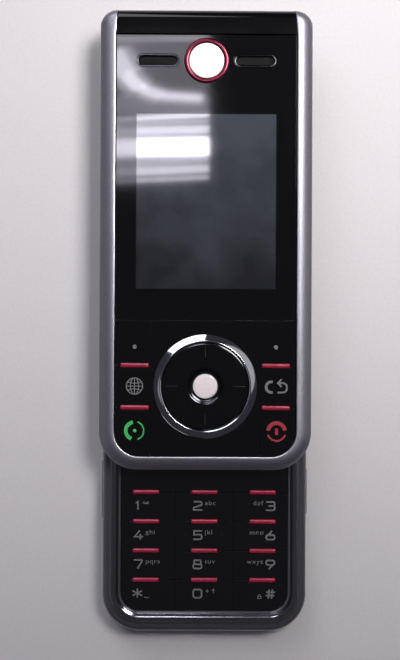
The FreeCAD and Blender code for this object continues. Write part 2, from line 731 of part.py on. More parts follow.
# Two zigzag springs lie flat between the plates.  Each hooks over one pin of
# either half, and is squeezed most at half travel, so it throws the slide to
# whichever end is nearer.
spring_level = value("base_height + half_gap + 0.1")
spring_parts = []
for sign in (1, -1):
    start = FreeCAD.Vector(sign * value("base_pin_x"), value("base_pin_y"), spring_level)
    end = FreeCAD.Vector(sign * value("slider_pin_x"), value("base_pin_y + slide_travel / 2"), spring_level)
    along = (end - start).normalize()
    aside = along.cross(Z_AXIS)
    reach = (end - start).Length
    inner = value("pin_diameter / 2 + 0.05")
    outer = inner + value("spring_wire")
    places = [start + along * (inner + 0.1)]
    swing = sign * value("spring_swing")
    for share, offset in ((0.2, 0), (0.32, swing), (0.5, -swing), (0.68, swing), (0.8, 0)):
        places.append(start + along * (reach * share) + aside * offset)
    places.append(end - along * (inner + 0.1))
    ribbon = bent_path(places, 0.9).makeOffset2D(value("spring_wire / 2"), 0, True, True)
    strip = Part.Face(ribbon.Wires[0]).extrude(Z_AXIS * value("spring_wire"))
    eyes = [Part.makeCylinder(outer, value("spring_wire"), centre) for centre in (start, end)]
    bores = [Part.makeCylinder(inner, value("spring_wire"), centre) for centre in (start, end)]
    spring_parts.append(strip.fuse(eyes).cut(Part.makeCompound(bores)).removeSplitter())
springs = doc.addObject("Part::Feature", "slide_springs")
springs.Shape = Part.makeCompound(spring_parts)
springs.Placement = FreeCAD.Placement()

# The flat cable between the halves rolls in a loop as the phone is slid.
low_run = value(plate_top + " + 0.25")
high_run = value("base_height + half_gap + channel_depth - 0.35")
base_slot_y = 10.5
slider_slot_y = value("5.5 + slide_travel")
loop_y = slider_slot_y + 3
mid_level = (low_run + high_run) / 2
loop_radius = (high_run - low_run) / 2
side_x = -3.0
cable_low = bent_path([FreeCAD.Vector(side_x, base_slot_y, value(board_top)),
                       FreeCAD.Vector(side_x, base_slot_y, low_run),
                       FreeCAD.Vector(side_x, loop_y, low_run)], 0.4)
cable_loop = Part.Arc(FreeCAD.Vector(side_x, loop_y, low_run),
                      FreeCAD.Vector(side_x, loop_y + loop_radius, mid_level),
                      FreeCAD.Vector(side_x, loop_y, high_run)).toShape()
cable_high = bent_path([FreeCAD.Vector(side_x, loop_y, high_run),
                        FreeCAD.Vector(side_x, slider_slot_y, high_run),
                        FreeCAD.Vector(side_x, slider_slot_y, high_run + 0.95)], 0.3)
cable_path = Part.Wire(cable_low.Edges + [cable_loop] + cable_high.Edges)
strip = cable_path.makeOffset2D(0.12, 0, True, True)
cable = doc.addObject("Part::Feature", "flex_cable")
cable.Shape = Part.Face(strip.Wires[0]).extrude(X_AXIS * (-2 * side_x))
cable.Placement = FreeCAD.Placement()

screws = new_body("base_screws")
# Back screws go up into the bezel; deck screws hold the rail plate from above.
head_low = "floor_level - 0.1 - screw_head_height"
posts(screws, BASE_SCREWS, "screw_head", head_low, "screw_head_height")
posts(screws, BASE_SCREWS, "screw_shank", head_low, "split_level + 1.5 - (%s)" % head_low)
posts(screws, DECK_SCREWS, "screw_head", plate_top, "0.3")
posts(screws, DECK_SCREWS, "screw_shank", "deck_level - deck_thickness", "deck_thickness + steel + 0.1")

# ----------------------------------------------- display half: the shell

opening_half = SLIDER_HALF + " - side_rail"


def slider_blank(body, low, height):
    """The outline of the display half, raised between two levels."""
    corners = rounded(centred(SLIDER_HALF, "-" + END, END),
                      "end_corner", "end_corner", "cap_corner", "cap_corner")
    pad(body, outline(body, corners, low), height)


back_cover = slider_body("slider_back_cover")
slider_blank(back_cover, "0", "channel_depth")
dress(back_cover, "Fillet", "back_cover_round", level_at("0"))
module_half = channel_wall + " + steel + 0.2"
slot(back_cover, "-(%s)" % module_half, module_half, channel_low + " - 0.2", channel_high + " + 0.2",
     "channel_depth", "channel_depth")
cover_screws = mirrored((SLIDER_HALF + " - 3.5", "14.25 - " + END), (SLIDER_HALF + " - 7", END + " - 7.25"))
holes(back_cover, cover_screws + ear_screws, "screw_hole", "channel_depth", "channel_depth")
holes(back_cover, cover_screws, "screw_head + 0.2", "0.7", "0.7")

frame = slider_body("slider_frame")
slider_blank(frame, "channel_depth", "slider_height - channel_depth")
dress(frame, "Fillet", "frame_round",
      level_at("slider_height"))
inner_end_y = "-%s + end_band" % END
cut(frame, outline(frame, [("-(%s)" % opening_half, inner_end_y, "inner_corner"),
                           (opening_half, inner_end_y, "inner_corner"),
                           (opening_half, "lens_top_from_end - " + END),
                           (opening_half + " - cap_slant", END + " + 0.1"),
                           ("-(%s) + cap_slant" % opening_half, END + " + 0.1"),
                           ("-(%s)" % opening_half, "lens_top_from_end - " + END)],
                   "slider_height"), "slider_height")
inner_reach = value(opening_half) + 0.01
dress(frame, "Chamfer", "frame_chamfer", level_at(
    "slider_height", lambda box: box.XMax < inner_reach and box.XMin > -inner_reach
    and box.YMax < value(END) - 0.2))

lens_half = opening_half + " - lens_gap"
lens_low = "seam_from_end - " + END
lens_high = "lens_top_from_end - " + END
cap = slider_body("top_cap")
cap_half = opening_half + " - fit_gap / 2"
pad(cap, outline(cap, [("-(%s)" % cap_half, lens_high + " + 0.15"), (cap_half, lens_high + " + 0.15"),
                       (cap_half + " - cap_slant * 0.98", END), ("-(%s) + cap_slant * 0.98" % cap_half, END)],
                 "channel_depth"), "slider_height - channel_depth - 0.1")
dress(cap, "Fillet", "cap_round",
      level_at("slider_height - 0.1", lambda box: box.YMin > value(END) - 0.05))

lens = slider_body("display_lens")
block(lens, "-(%s)" % lens_half, lens_half, lens_low + " + seam_gap / 2", lens_high,
      "lens_level - lens_thickness", "lens_thickness")
emblem_y = "emblem_from_end - " + END
holes(lens, [("0", emblem_y)], "emblem_ring_diameter + fit_gap", "lens_level", "0.3")


def stadium(sketch, across, along, length, width):
    """A straight slot with round ends."""
    x = value(across)
    y = value(along)
    reach = value("(%s - %s) / 2" % (length, width))
    radius = value("%s / 2" % width)
    upper = sketch.addGeometry(Part.LineSegment(FreeCAD.Vector(x - reach, y + radius, 0),
                                                FreeCAD.Vector(x + reach, y + radius, 0)))
    right = sketch.addGeometry(Part.ArcOfCircle(Part.Circle(FreeCAD.Vector(x + reach, y, 0), Z_AXIS, radius),
                                                -math.pi / 2, math.pi / 2))
    lower = sketch.addGeometry(Part.LineSegment(FreeCAD.Vector(x + reach, y - radius, 0),
                                                FreeCAD.Vector(x - reach, y - radius, 0)))
    left = sketch.addGeometry(Part.ArcOfCircle(Part.Circle(FreeCAD.Vector(x - reach, y, 0), Z_AXIS, radius),
                                               math.pi / 2, 3 * math.pi / 2))
    sketch.addConstraint([Sketcher.Constraint("Tangent", upper, 2, right, 2),
                          Sketcher.Constraint("Tangent", right, 1, lower, 1),
                          Sketcher.Constraint("Tangent", lower, 2, left, 2),
                          Sketcher.Constraint("Tangent", left, 1, upper, 1),
                          Sketcher.Constraint("Horizontal", upper)])
    bind(sketch, "DistanceX", -1, 1, right, 3, "%s + (%s - %s) / 2" % (across, length, width))
    bind(sketch, "DistanceX", -1, 1, left, 3, "%s - (%s - %s) / 2" % (across, length, width))
    bind(sketch, "DistanceY", -1, 1, right, 3, along)
    bind(sketch, "Radius", right, "%s / 2" % width)


SLOT_SIDES = ("slot_x", "-slot_x")
openings = new_sketch(lens, "lens_level", "XY_Plane")
for across in SLOT_SIDES:
    stadium(openings, across, emblem_y, "(slot_length + 0.1)", "(slot_width + 0.1)")
cut(lens, openings, "lens_thickness")

trims = slider_body("earpiece_trims")
rims = new_sketch(trims, "lens_level - lens_thickness + 0.1", "XY_Plane")
for across in SLOT_SIDES:
    stadium(rims, across, emblem_y, "slot_length", "slot_width")
pad(trims, rims, "lens_thickness")
wells = new_sketch(trims, "lens_level", "XY_Plane")
for across in SLOT_SIDES:
    stadium(wells, across, emblem_y, "(slot_length - 2 * slot_rim)", "(slot_width - 2 * slot_rim)")
cut(trims, wells, "0.45")

ring = slider_body("emblem_ring")
posts(ring, [("0", emblem_y)], "emblem_ring_diameter", "lens_level - 0.3", "0.5")
holes(ring, [("0", emblem_y)], "emblem_disc_diameter", "lens_level + 0.2", "0.5")
dress(ring, "Chamfer", "0.15", level_at("lens_level + 0.2"))
disc = slider_body("emblem_disc")
posts(disc, [("0", emblem_y)], "emblem_disc_diameter - 0.05", "lens_level - 0.3", "0.42")

# ------------------------------------- display half: what lies in the shell

plate_back = "channel_depth + steel"
chassis = slider_body("lcd_chassis")
floor_top = plate_back + " + chassis_floor"
wall_top = "lens_level - lens_thickness"
chassis_half = opening_half + " - lens_gap"
block(chassis, "-(%s)" % chassis_half, chassis_half, inner_end_y + " + 0.2", lens_high + " - 0.2",
      plate_back, "%s - (%s)" % (wall_top, plate_back))
slot(chassis, "-(%s) + chassis_wall" % chassis_half, chassis_half + " - chassis_wall",
     lens_low + " + chassis_wall", lens_high + " - 0.2 - chassis_wall", wall_top,
     "%s - (%s)" % (wall_top, floor_top))
slot(chassis, "-slider_width", "slider_width", "-" + END, lens_low + " + 0.1", wall_top,
     wall_top + " - front_board_level")
for left, right in (("-(%s) + chassis_wall" % chassis_half, "-1"), ("1", chassis_half + " - chassis_wall")):
    slot(chassis, left, right, inner_end_y + " + 5", lens_low + " - 1.2", "front_board_level",
         "front_board_level - (%s)" % floor_top)
dress(chassis, "Fillet", "inner_corner - 0.3", corner_at(*mirrored((chassis_half, inner_end_y + " + 0.2"))))
slot(chassis, "-3.8", "3.8", "3.4", "7.6", plate_back + " + 0.4", "0.4")

earpiece = slider_body("earpiece_speaker")
block(earpiece, "-7", "7", emblem_y + " - 3.2", emblem_y + " + 3.2", floor_top, "2.4")
dress(earpiece, "Fillet", "2.4", upright)

panel = slider_body("lcd_panel")
block(panel, "-panel_half_width", "panel_half_width", "panel_low_from_end - " + END,
      "panel_high_from_end - " + END, floor_top, "panel_thickness")

front_board = slider_body("front_key_board")
nav_y = "nav_from_end - " + END
block(front_board, "-(%s) + 0.2" % chassis_half, chassis_half + " - 0.2", inner_end_y + " + 0.4",
      lens_low + " - 0.4", "front_board_level", "steel")
dress(front_board, "Fillet", "inner_corner - 0.5",
      corner_at(*mirrored((chassis_half + " - 0.2", inner_end_y + " + 0.4"))))
front_top = "front_board_level + steel"
BAR_ROWS = ["upper_bar_from_end - " + END, "lower_bar_from_end - " + END]
ROW_EDGES = [lens_low + " - seam_gap / 2"] + BAR_ROWS + [inner_end_y + " + fit_gap"]
front_key_x = "(centre_half_width + %s) / 2" % lens_half
front_domes = mirrored(*[(front_key_x, "(%s + %s) / 2" % pair) for pair in zip(ROW_EDGES, ROW_EDGES[1:])])
nav_domes = [("0", nav_y), ("nav_dome_radius", nav_y), ("-nav_dome_radius", nav_y),
             ("0", nav_y + " + nav_dome_radius"), ("0", nav_y + " - nav_dome_radius")]
studs(front_board, front_domes + nav_domes, "dome_width", front_top, "dome_height")

front_bars = slider_body("front_light_bars")
bar_sketch = new_sketch(front_bars, front_top, "XY_Plane")
for along in BAR_ROWS:
    for across in ("front_bar_x", "-front_bar_x"):
        add_loop(bar_sketch, rectangle(across + " - front_bar_length / 2", across + " + front_bar_length / 2",
                                       along + " - front_bar_width / 2", along + " + front_bar_width / 2"))
pad(front_bars, bar_sketch, "lens_level + front_bar_proud - (%s)" % front_top)

surround = slider_body("nav_surround")
block(surround, "-centre_half_width", "centre_half_width", ROW_EDGES[3], ROW_EDGES[0], front_top,
      "lens_level - (%s)" % front_top)
holes(surround, [("0", nav_y)], "nav_ring_outer + fit_gap", "lens_level", "3")

nav_bezel = slider_body("nav_bezel")
posts(nav_bezel, [("0", nav_y)], "nav_ring_outer", front_top, "lens_level + nav_proud - (%s)" % front_top)
holes(nav_bezel, [("0", nav_y)], "nav_ring_inner", "slider_height + 1", "4")
dress(nav_bezel, "Chamfer", "0.55", level_at("lens_level + nav_proud"))

# ------------------------------------------------ display half: the keys

key_low = wall_top
plunger_low = key_low + " - plunger_height + 0.1"
FRONT_KEYS = ["right_soft_key", "left_soft_key", "clear_key", "globe_key", "end_key", "call_key"]
for number, name in enumerate(FRONT_KEYS):
    row, left_side = divmod(number, 2)
    sign = "-" if left_side else ""
    near = "%s(centre_half_width + key_gap)" % sign
    far = "%s(%s)" % (sign, lens_half)
    left, right = (far, near) if left_side else (near, far)
    low = ROW_EDGES[row + 1] + ("" if row == 2 else " + " + inset)
    high = ROW_EDGES[row] + ("" if row == 0 else " - " + inset)
    key = slider_body(name)
    block(key, left, right, low, high, key_low, "lens_thickness")
    for along in BAR_ROWS[max(row - 1, 0):row + 1]:
        notch(key, sign + "front_bar_x", along, "front_bar_length", "front_bar_width", "lens_level")
    if row == 2:
        dress(key, "Fillet", "inner_corner - lens_gap", corner_at((far, low)))
    studs(key, [front_domes[number]], "plunger_width", plunger_low, key_low + " - (%s)" % plunger_low)

carrier = slider_body("nav_carrier")
posts(carrier, [("0", nav_y)], "12.4", key_low + " - 0.45", "0.15")
holes(carrier, [("0", nav_y)], "9", key_low, "1")

nav_pad = slider_body("nav_pad")
posts(nav_pad, [("0", nav_y)], "nav_ring_inner - 2 * fit_gap", key_low + " - 0.05",
      "lens_thickness + 0.2")
holes(nav_pad, [("0", nav_y)], "collar_diameter + 0.1", "slider_height + 1", "4")
posts(nav_pad, nav_domes[1:], "2.4", plunger_low, "%s - (%s)" % (key_low, plunger_low))
pad_reach = value("nav_ring_inner") - 1
dress(nav_pad, "Chamfer", "0.3",
      level_at("lens_level + 0.15", lambda box: box.XLength > pad_reach))

collar = slider_body("select_collar")
posts(collar, [("0", nav_y)], "collar_diameter", key_low, "lens_thickness + 0.3")
holes(collar, [("0", nav_y)], "select_diameter + 2 * fit_gap", "slider_height + 1", "4")
collar_reach = value("collar_diameter") - 1
dress(collar, "Chamfer", "collar_dish", level_at("lens_level + 0.3", lambda box: box.XLength < collar_reach))

select = slider_body("select_key")
posts(select, [("0", nav_y)], "select_diameter", plunger_low, "lens_level + 0.35 - (%s)" % plunger_low)
dress(select, "Chamfer", "0.25", level_at("lens_level + 0.35"))

slider_screws = slider_body("slider_screws")
posts(slider_screws, cover_screws, "screw_head", "0.2", "screw_head_height")
posts(slider_screws, cover_screws, "screw_shank", "0.6", "channel_depth - 0.6")
posts(slider_screws, ear_screws, "screw_shank", "0.3", "%s - 0.3" % plate_back)

# ------------------------------------------------------------- write out

doc.recompute()
parts = [thing for thing in doc.Objects
         if thing.TypeId == "PartDesign::Body" or thing.Name in ("slide_springs", "flex_cable")]
for thing in doc.Objects:
    if "Invalid" in thing.State or "Error" in thing.State:
        raise ValueError("%s did not compute" % thing.Name)
for part in parts:
    if part.Shape.isNull() or not part.Shape.isValid():
        raise ValueError("%s has no sound shape" % part.Label)

os.makedirs("parts", exist_ok=True)
for part in parts:
    part.Shape.exportStep("parts/%s.step" % part.Label)
    box = part.Shape.BoundBox
    print("%-20s %8.1f mm3  %d solid(s)  x %.2f..%.2f  y %.2f..%.2f  z %.2f..%.2f" % (
        part.Label, part.Shape.Volume, len(part.Shape.Solids), box.XMin, box.XMax,
        box.YMin, box.YMax, box.ZMin, box.ZMax))
print(len(parts), "parts")
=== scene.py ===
import math

import bmesh
import bpy
from mathutils import Matrix, Vector


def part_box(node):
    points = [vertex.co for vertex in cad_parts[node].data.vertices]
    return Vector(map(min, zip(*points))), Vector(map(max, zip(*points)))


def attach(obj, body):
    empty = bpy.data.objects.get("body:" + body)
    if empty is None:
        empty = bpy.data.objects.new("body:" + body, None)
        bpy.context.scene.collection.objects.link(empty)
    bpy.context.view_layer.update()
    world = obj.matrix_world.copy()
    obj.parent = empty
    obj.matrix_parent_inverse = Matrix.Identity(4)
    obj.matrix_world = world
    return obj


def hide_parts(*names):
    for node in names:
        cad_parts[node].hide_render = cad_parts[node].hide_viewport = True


# The looks of a sliding telephone that lies on its back, slid open.  All
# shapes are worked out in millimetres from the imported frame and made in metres.

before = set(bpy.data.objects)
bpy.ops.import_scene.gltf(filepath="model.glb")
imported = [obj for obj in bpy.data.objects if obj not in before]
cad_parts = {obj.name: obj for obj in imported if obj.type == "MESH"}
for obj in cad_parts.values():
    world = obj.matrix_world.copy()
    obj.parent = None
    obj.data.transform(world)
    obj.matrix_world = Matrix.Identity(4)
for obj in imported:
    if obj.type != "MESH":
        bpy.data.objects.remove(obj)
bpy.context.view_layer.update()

MM = 0.001


# ------------------------------------------------------------- node helpers

def linear(code):
    """An sRGB colour written as hex, turned to linear light."""
    parts = [int(code[at:at + 2], 16) / 255 for at in (1, 3, 5)]
    light = [part / 12.92 if part <= 0.04045 else ((part + 0.055) / 1.055) ** 2.4 for part in parts]
    return (*light, 1.0)


def add_node(tree, kind, settings=(), links=()):
    """Add one node: settings for its own values and its sockets, links for what feeds them."""
    made = tree.nodes.new(kind)
    for name, value in dict(settings).items():
        if isinstance(name, str) and hasattr(made, name):
            setattr(made, name, value)
        else:
            made.inputs[name].default_value = value
    for name, source in dict(links).items():
        tree.links.new(source, made.inputs[name])
    return made


def finish(name, base, rough, settings=(), pattern=None):
    """A material on one Principled shader, with a pattern that may feed its colour, roughness or normal."""
    made = bpy.data.materials.new(name)
    made.use_nodes = True
    tree = made.node_tree
    tree.nodes.clear()
    values = {"Base Color": linear(base), "Roughness": rough, **dict(settings)}
    shader = add_node(tree, "ShaderNodeBsdfPrincipled", values)
    add_node(tree, "ShaderNodeOutputMaterial", (), {"Surface": shader.outputs["BSDF"]})
    if pattern:
        spot = add_node(tree, "ShaderNodeTexCoord").outputs["Object"]
        for socket, source in pattern(tree, spot).items():
            tree.links.new(source, shader.inputs[socket])
    made.diffuse_color = linear(base)
    return made


def ramp(tree, source, stops):
    """A colour ramp through stops of place and hex colour."""
    made = add_node(tree, "ShaderNodeValToRGB", (), {"Fac": source})
    elements = made.color_ramp.elements
    while len(elements) < len(stops):
        elements.new(1)
    for element, (at, code) in zip(elements, stops):
        element.position = at
        element.color = linear(code)
    return made.outputs["Color"]


def grain(tree, spot, size, detail=2.0, rough=0.5):
    """Even noise whose lumps are about a size across, in millimetres."""
    return add_node(tree, "ShaderNodeTexNoise", {"Scale": 1 / (size * MM), "Detail": detail, "Roughness": rough},
                    {"Vector": spot}).outputs["Fac"]


def bumped(tree, height, depth):
    """A normal from a height pattern whose relief is a depth in millimetres."""
    return add_node(tree, "ShaderNodeBump", {"Distance": depth * MM}, {"Height": height}).outputs["Normal"]


def spread(tree, source, low, high, start=0.0, end=1.0):
    """A value that runs from start to end, stretched to run from low to high."""
    return add_node(tree, "ShaderNodeMapRange", {"From Min": start, "From Max": end, "To Min": low, "To Max": high},
                    {"Value": source}).outputs["Result"]


def scaled(tree, spot, scale):
    """A place whose axes are scaled, for patterns that run in long lines."""
    return add_node(tree, "ShaderNodeMapping", {"Scale": scale}, {"Vector": spot}).outputs["Vector"]


def coordinate(tree, spot, axis):
    """One coordinate of a place."""
    return add_node(tree, "ShaderNodeSeparateXYZ", (), {"Vector": spot}).outputs[axis]


def maths(tree, operation, *terms):
    """What an operation makes of one or two terms, each an output or a plain number."""
    made = add_node(tree, "ShaderNodeMath", {"operation": operation})
    for at, term in enumerate(terms):
        if isinstance(term, float):
            made.inputs[at].default_value = term
        else:
            tree.links.new(term, made.inputs[at])
    return made.outputs[0]


# ----------------------------------------------------------------- patterns

def worn(size, low, high, detail=2.0, rough=0.5):
    """Patches of a size that differ in gloss only."""
    return lambda tree, spot: {"Roughness": spread(tree, grain(tree, spot, size, detail, rough), low, high)}


def mottled(size, low, high, detail=2.0):
    """Patches of a size that differ in colour only, between two stops."""
    return lambda tree, spot: {"Base Color": ramp(tree, grain(tree, spot, size, detail), [low, high])}


def pitted(size, depth, patch, low, high, detail=2.0):
    """Fine relief, with wider patches that differ in gloss."""
    return lambda tree, spot: {"Normal": bumped(tree, grain(tree, spot, size, detail), depth),
                               "Roughness": spread(tree, grain(tree, spot, patch), low, high)}


WIPED = worn(6.0, 0.035, 0.09)
OILED_METAL = worn(4.0, 0.07, 0.16, 4.0)
OILED_GLOSS = worn(9.0, 0.03, 0.12, 4.0, 0.6)
BROKEN_INK = worn(0.3, 0.4, 0.55)
MOULDED = pitted(0.22, 0.02, 3.0, 0.46, 0.58, 3.0)
BLASTED = pitted(0.1, 0.003, 0.8, 0.3, 0.42)
STRETCHED_FILM = pitted(5.0, 0.05, 2.0, 0.3, 0.42)
SHIMMER = mottled(0.5, (0.3, "#E6DBDE"), (0.7, "#EFE6E9"))


def lacquer_flake(tree, spot):
    """Metal flakes under lacquer: a fine sparkle in the tone and the normal."""
    flakes = add_node(tree, "ShaderNodeTexVoronoi", {"Scale": 1 / (0.16 * MM)}, {"Vector": spot})
    tone = add_node(tree, "ShaderNodeSeparateColor", (), {"Color": flakes.outputs["Color"]}).outputs["Red"]
    return {"Base Color": ramp(tree, tone, [(0.0, "#8B8994"), (1.0, "#9997A2")]),
            "Roughness": spread(tree, tone, 0.39, 0.45),
            "Normal": bumped(tree, grain(tree, spot, 0.12), 0.0012)}


def cut_lines(tree, spot):
    """Fine turned lines left by the cutter on a chamfer."""
    return {"Roughness": spread(tree, grain(tree, scaled(tree, spot, (1.0, 1.0, 6.0)), 0.5), 0.26, 0.34)}


def rolled_steel(tree, spot):
    """Rolling lines along the strip."""
    streak = grain(tree, scaled(tree, spot, (1.0, 0.04, 1.0)), 0.25, 3.0)
    return {"Base Color": ramp(tree, streak, [(0.2, "#A3A4A8"), (0.8, "#BDBEC2")]),
            "Roughness": spread(tree, streak, 0.24, 0.4),
            "Normal": bumped(tree, streak, 0.004)}


def board_weave(tree, spot):
    """Glass weave that shows through the solder mask."""
    weave = add_node(tree, "ShaderNodeTexWave", {"Scale": 1 / (1.2 * MM), "Distortion": 1.0}, {"Vector": spot})
    return {"Base Color": ramp(tree, weave.outputs["Fac"], [(0.0, "#12452E"), (1.0, "#185537")])}


# ---------------------------------------------------------------- materials

METAL = {"Metallic": 1.0}

# Metallic lacquer over moulded resin, satin: the eye gets a soft broad shine
# with a cool grey body and a faint sparkle.
GUNMETAL = finish("satin_metallic_lacquer", "#92909A", 0.42, {"Metallic": 0.9}, lacquer_flake)
# Nickel plating dyed dark, polished and handled: sharp, dim reflections.
DARK_CHROME = finish("black_nickel_plating", "#86848A", 0.1, METAL, OILED_METAL)
# The same plating, dyed almost black: only lamps and windows show in it.
BLACK_NICKEL = finish("black_dyed_plating", "#46464A", 0.12, METAL, OILED_METAL)
# Bright chromium over resin, polished: a mirror, slightly blue.
CHROME = finish("bright_chrome_plating", "#DADCE2", 0.05, METAL, WIPED)
# Machined and polished edge of the lacquered frame: nearly white lines.
POLISHED_EDGE = finish("diamond_cut_aluminium", "#B2B2B8", 0.3, METAL, cut_lines)
# Dark plating where the cutter has gone over it: a thin grey line.
CUT_LINE = finish("diamond_cut_black_nickel", "#7A797F", 0.3, METAL, cut_lines)
# Injection moulded acrylic, black all through: high gloss with soft smears of
# skin oil.
BLACK_GLOSS = finish("black_acrylic_high_gloss", "#070708", 0.06, {"IOR": 1.49}, OILED_GLOSS)
# Black polycarbonate on the number keys: as glossy, with a stronger mirror.
BLACK_KEY = finish("black_polycarbonate_keycap", "#08080A", 0.16, {"IOR": 1.58}, OILED_GLOSS)
# Smoked polycarbonate round the keypad: a dark grey that is glossy as glass.
SMOKED = finish("smoked_polycarbonate_high_gloss", "#454449", 0.08, {"IOR": 1.58, "Coat Weight": 0.3}, OILED_GLOSS)
# Soft-touch paint on polycarbonate: nearly black, dull, with a fine grain.
SOFT_TOUCH = finish("soft_touch_painted_polycarbonate", "#242427", 0.5, {"Specular IOR Level": 0.4}, MOULDED)
# Structural glass-filled resin, bare: dark and dull.
FILLED_RESIN = finish("glass_filled_nylon", "#1B1B1D", 0.55, (), MOULDED)
# Red transparent polycarbonate, moulded, its dye slightly uneven: a solid bar with a faint painted glow in its
# emission.
RED_GUIDE = finish("red_polycarbonate_light_guide", "#9A2242", 0.26,
                   {"Subsurface Weight": 0.3, "Subsurface Radius": (0.0012, 0.0003, 0.0004),
                    "Subsurface Scale": 1.0, "Coat Weight": 0.4, "Coat Roughness": 0.08,
                    # Painted glow: the bars' faint emission.
                    "Emission Color": linear("#A81C40"), "Emission Strength": 0.06},
                   mottled(1.4, (0.25, "#8A1434"), (0.75, "#A42143")))
# Pearl lacquer on the select key: a warm white satin.
PEARL = finish("pearl_lacquered_resin", "#EDE3E6", 0.3, {"Coat Weight": 0.3}, SHIMMER)
# Struck and blasted aluminium of the bare round badge: pale, even silver.
SILVER_BADGE = finish("blasted_aluminium_badge", "#DCDCE1", 0.4, {"Metallic": 0.3}, BLASTED)
# Red anodised ring: a deep ruby metal, its dye a little deeper in places.
RUBY_RING = finish("ruby_anodised_aluminium", "#9A2244", 0.2, {"Metallic": 0.7, "Coat Weight": 0.15},
                   mottled(1.2, (0.2, "#520A20"), (0.8, "#68122A")))
# Stamped stainless strip: bright grey with long rolling lines.
STEEL = finish("stamped_stainless_steel", "#B0B1B5", 0.3, METAL, rolled_steel)
# Blued spring wire: darker and smoother than the strip.
SPRING_STEEL = finish("blued_spring_steel", "#6B6C74", 0.22, METAL, WIPED)
# Turned screws, zinc plated black: small dark glints.
SCREW_STEEL = finish("black_zinc_plated_steel", "#55565C", 0.26, METAL, BLASTED)
# Solder-masked glass-epoxy board: deep green with a faint weave.
BOARD = finish("green_solder_masked_board", "#154D33", 0.35, (), board_weave)
# Film-wrapped cell, bare of print: plain mid grey with tension waves.
BATTERY_WRAP = finish("shrink_wrapped_cell", "#4A4E55", 0.36, (), STRETCHED_FILM)
# Polyimide flat cable: amber, slightly glossy.
CABLE_FILM = finish("polyimide_flex_film", "#A8641C", 0.28, {"Coat Weight": 0.3}, STRETCHED_FILM)
# Acetal glide pads: milky white, waxy.
ACETAL = finish("natural_acetal", "#DDD9CE", 0.4, {"Subsurface Weight": 0.1, "Subsurface Scale": 0.001}, SHIMMER)
# Sintered tungsten of the motor's weight: dull grey.
TUNGSTEN = finish("sintered_tungsten", "#6E6D6B", 0.4, METAL, BLASTED)
# Silicone rubber under the four-way key: black and dull.
RUBBER = finish("black_silicone_rubber", "#101011", 0.6, (), MOULDED)
# Acoustic felt and the woven cloth over it: both soak up light.
FELT = finish("black_acoustic_felt", "#070708", 0.9, {"Specular IOR Level": 0.2}, MOULDED)
CLOTH = finish("black_woven_polyester", "#070708", 0.6, {"Specular IOR Level": 0.25}, MOULDED)
# Coated glass of the camera window: near black with a violet depth.
CAMERA_GLASS = finish("coated_camera_glass", "#0C0D18", 0.03, {"Coat Weight": 1.0, "Coat Roughness": 0.02},
                      mottled(4.0, (0.3, "#0B0C14"), (0.7, "#12132A")))
# Screen-printed inks: flat colours whose cover is very slightly broken. The green and the red ink carry a faint
# painted glow in their emission.
GREY_INK = finish("grey_screen_ink", "#6A6B6F", 0.5, (), BROKEN_INK)
# Painted glow: the green ink's faint emission.
GREEN_INK = finish("green_screen_ink", "#35B35A", 0.5,
                   {"Emission Color": linear("#2FA851"), "Emission Strength": 0.08}, BROKEN_INK)
# Painted glow: the red ink's faint emission.
RED_INK = finish("red_screen_ink", "#961029", 0.5,
                 {"Emission Color": linear("#C01535"), "Emission Strength": 0.05}, BROKEN_INK)


# ------------------------------------------------------------- flat outlines

def rounded(before, here, after, steps):
    """Points round one corner, which is (x, y) or, when it is rounded, (x, y, radius)."""
    spot = Vector(here[:2])
    if len(here) == 2:
        return [spot]
    back = (Vector(before[:2]) - spot).normalized()
    onward = (Vector(after[:2]) - spot).normalized()
    half_angle = back.angle(onward) / 2
    centre = spot + (back + onward).normalized() * (here[2] / math.sin(half_angle))
    start = spot + back * (here[2] / math.tan(half_angle)) - centre
    end = spot + onward * (here[2] / math.tan(half_angle)) - centre
    turn = start.angle_signed(end)
    return [centre + Matrix.Rotation(-turn * step / steps, 2) @ start for step in range(steps + 1)]


def outline(corners, steps=20):
    """Points round a closed outline."""
    row = corners[-1:] + corners + corners[:1]
    return [point for three in zip(row, row[1:], row[2:]) for point in rounded(*three, steps)]


def path(corners, steps=6):
    """Points along an open stroke."""
    points = [Vector(corners[0][:2])]
    for three in zip(corners, corners[1:], corners[2:]):
        points += rounded(*three, steps)
    return points + [Vector(corners[-1][:2])]


def box(left, low, right, high, *radii):
    """Corners of a rectangle from the lower left round: plain, with one radius or with a lower and an upper one."""
    lower, upper = radii[:1], radii[-1:]
    return ((left, low, *lower), (right, low, *lower), (right, high, *upper), (left, high, *upper))


def arc(centre, radius, start, end, steps=24):
    """Points along an arc between two angles in degrees."""
    angles = [math.radians(start + (end - start) * step / steps) for step in range(steps + 1)]
    return [Vector((centre[0] + radius * math.cos(angle), centre[1] + radius * math.sin(angle)))
            for angle in angles]


def circle(centre, radius, steps=48):
    """Points round a circle."""
    return arc(centre, radius, 0, 360, steps)[:-1]


def stadium(centre, length, width):
    """Points round a slot with round ends."""
    reach = (length - width) / 2
    return (arc((centre[0] + reach, centre[1]), width / 2, -90, 90, 20)
            + arc((centre[0] - reach, centre[1]), width / 2, 90, 270, 20))


# ------------------------------------------------- shapes: (vertices, faces)

def loft(rings, closed=True):
    """Faces through a row of equal rings.  An open loft gets a lid at each end."""
    count = len(rings[0])
    verts = [tuple(point) for ring in rings for point in ring]
    faces = []
    for row in range(len(rings) if closed else len(rings) - 1):
        here = row * count
        there = (row + 1) % len(rings) * count
        for at in range(count):
            after = (at + 1) % count
            faces.append((here + at, here + after, there + after, there + at))
    if not closed:
        faces += [tuple(range(count)), tuple(range(len(verts) - count, len(verts)))]
    return verts, faces


def band(outer, inner, section):
    """A ring between two matched outlines, its section given as (share from outer to inner, level)."""
    return loft([[(*far.lerp(near, share), level) for share, level in section] for far, near in zip(outer, inner)])


def inward(radius, level, steps):
    """Points of a profile given by how far inward and how far up they lie from a radius and a level."""
    return [(radius - step, level + up) for step, up in steps]


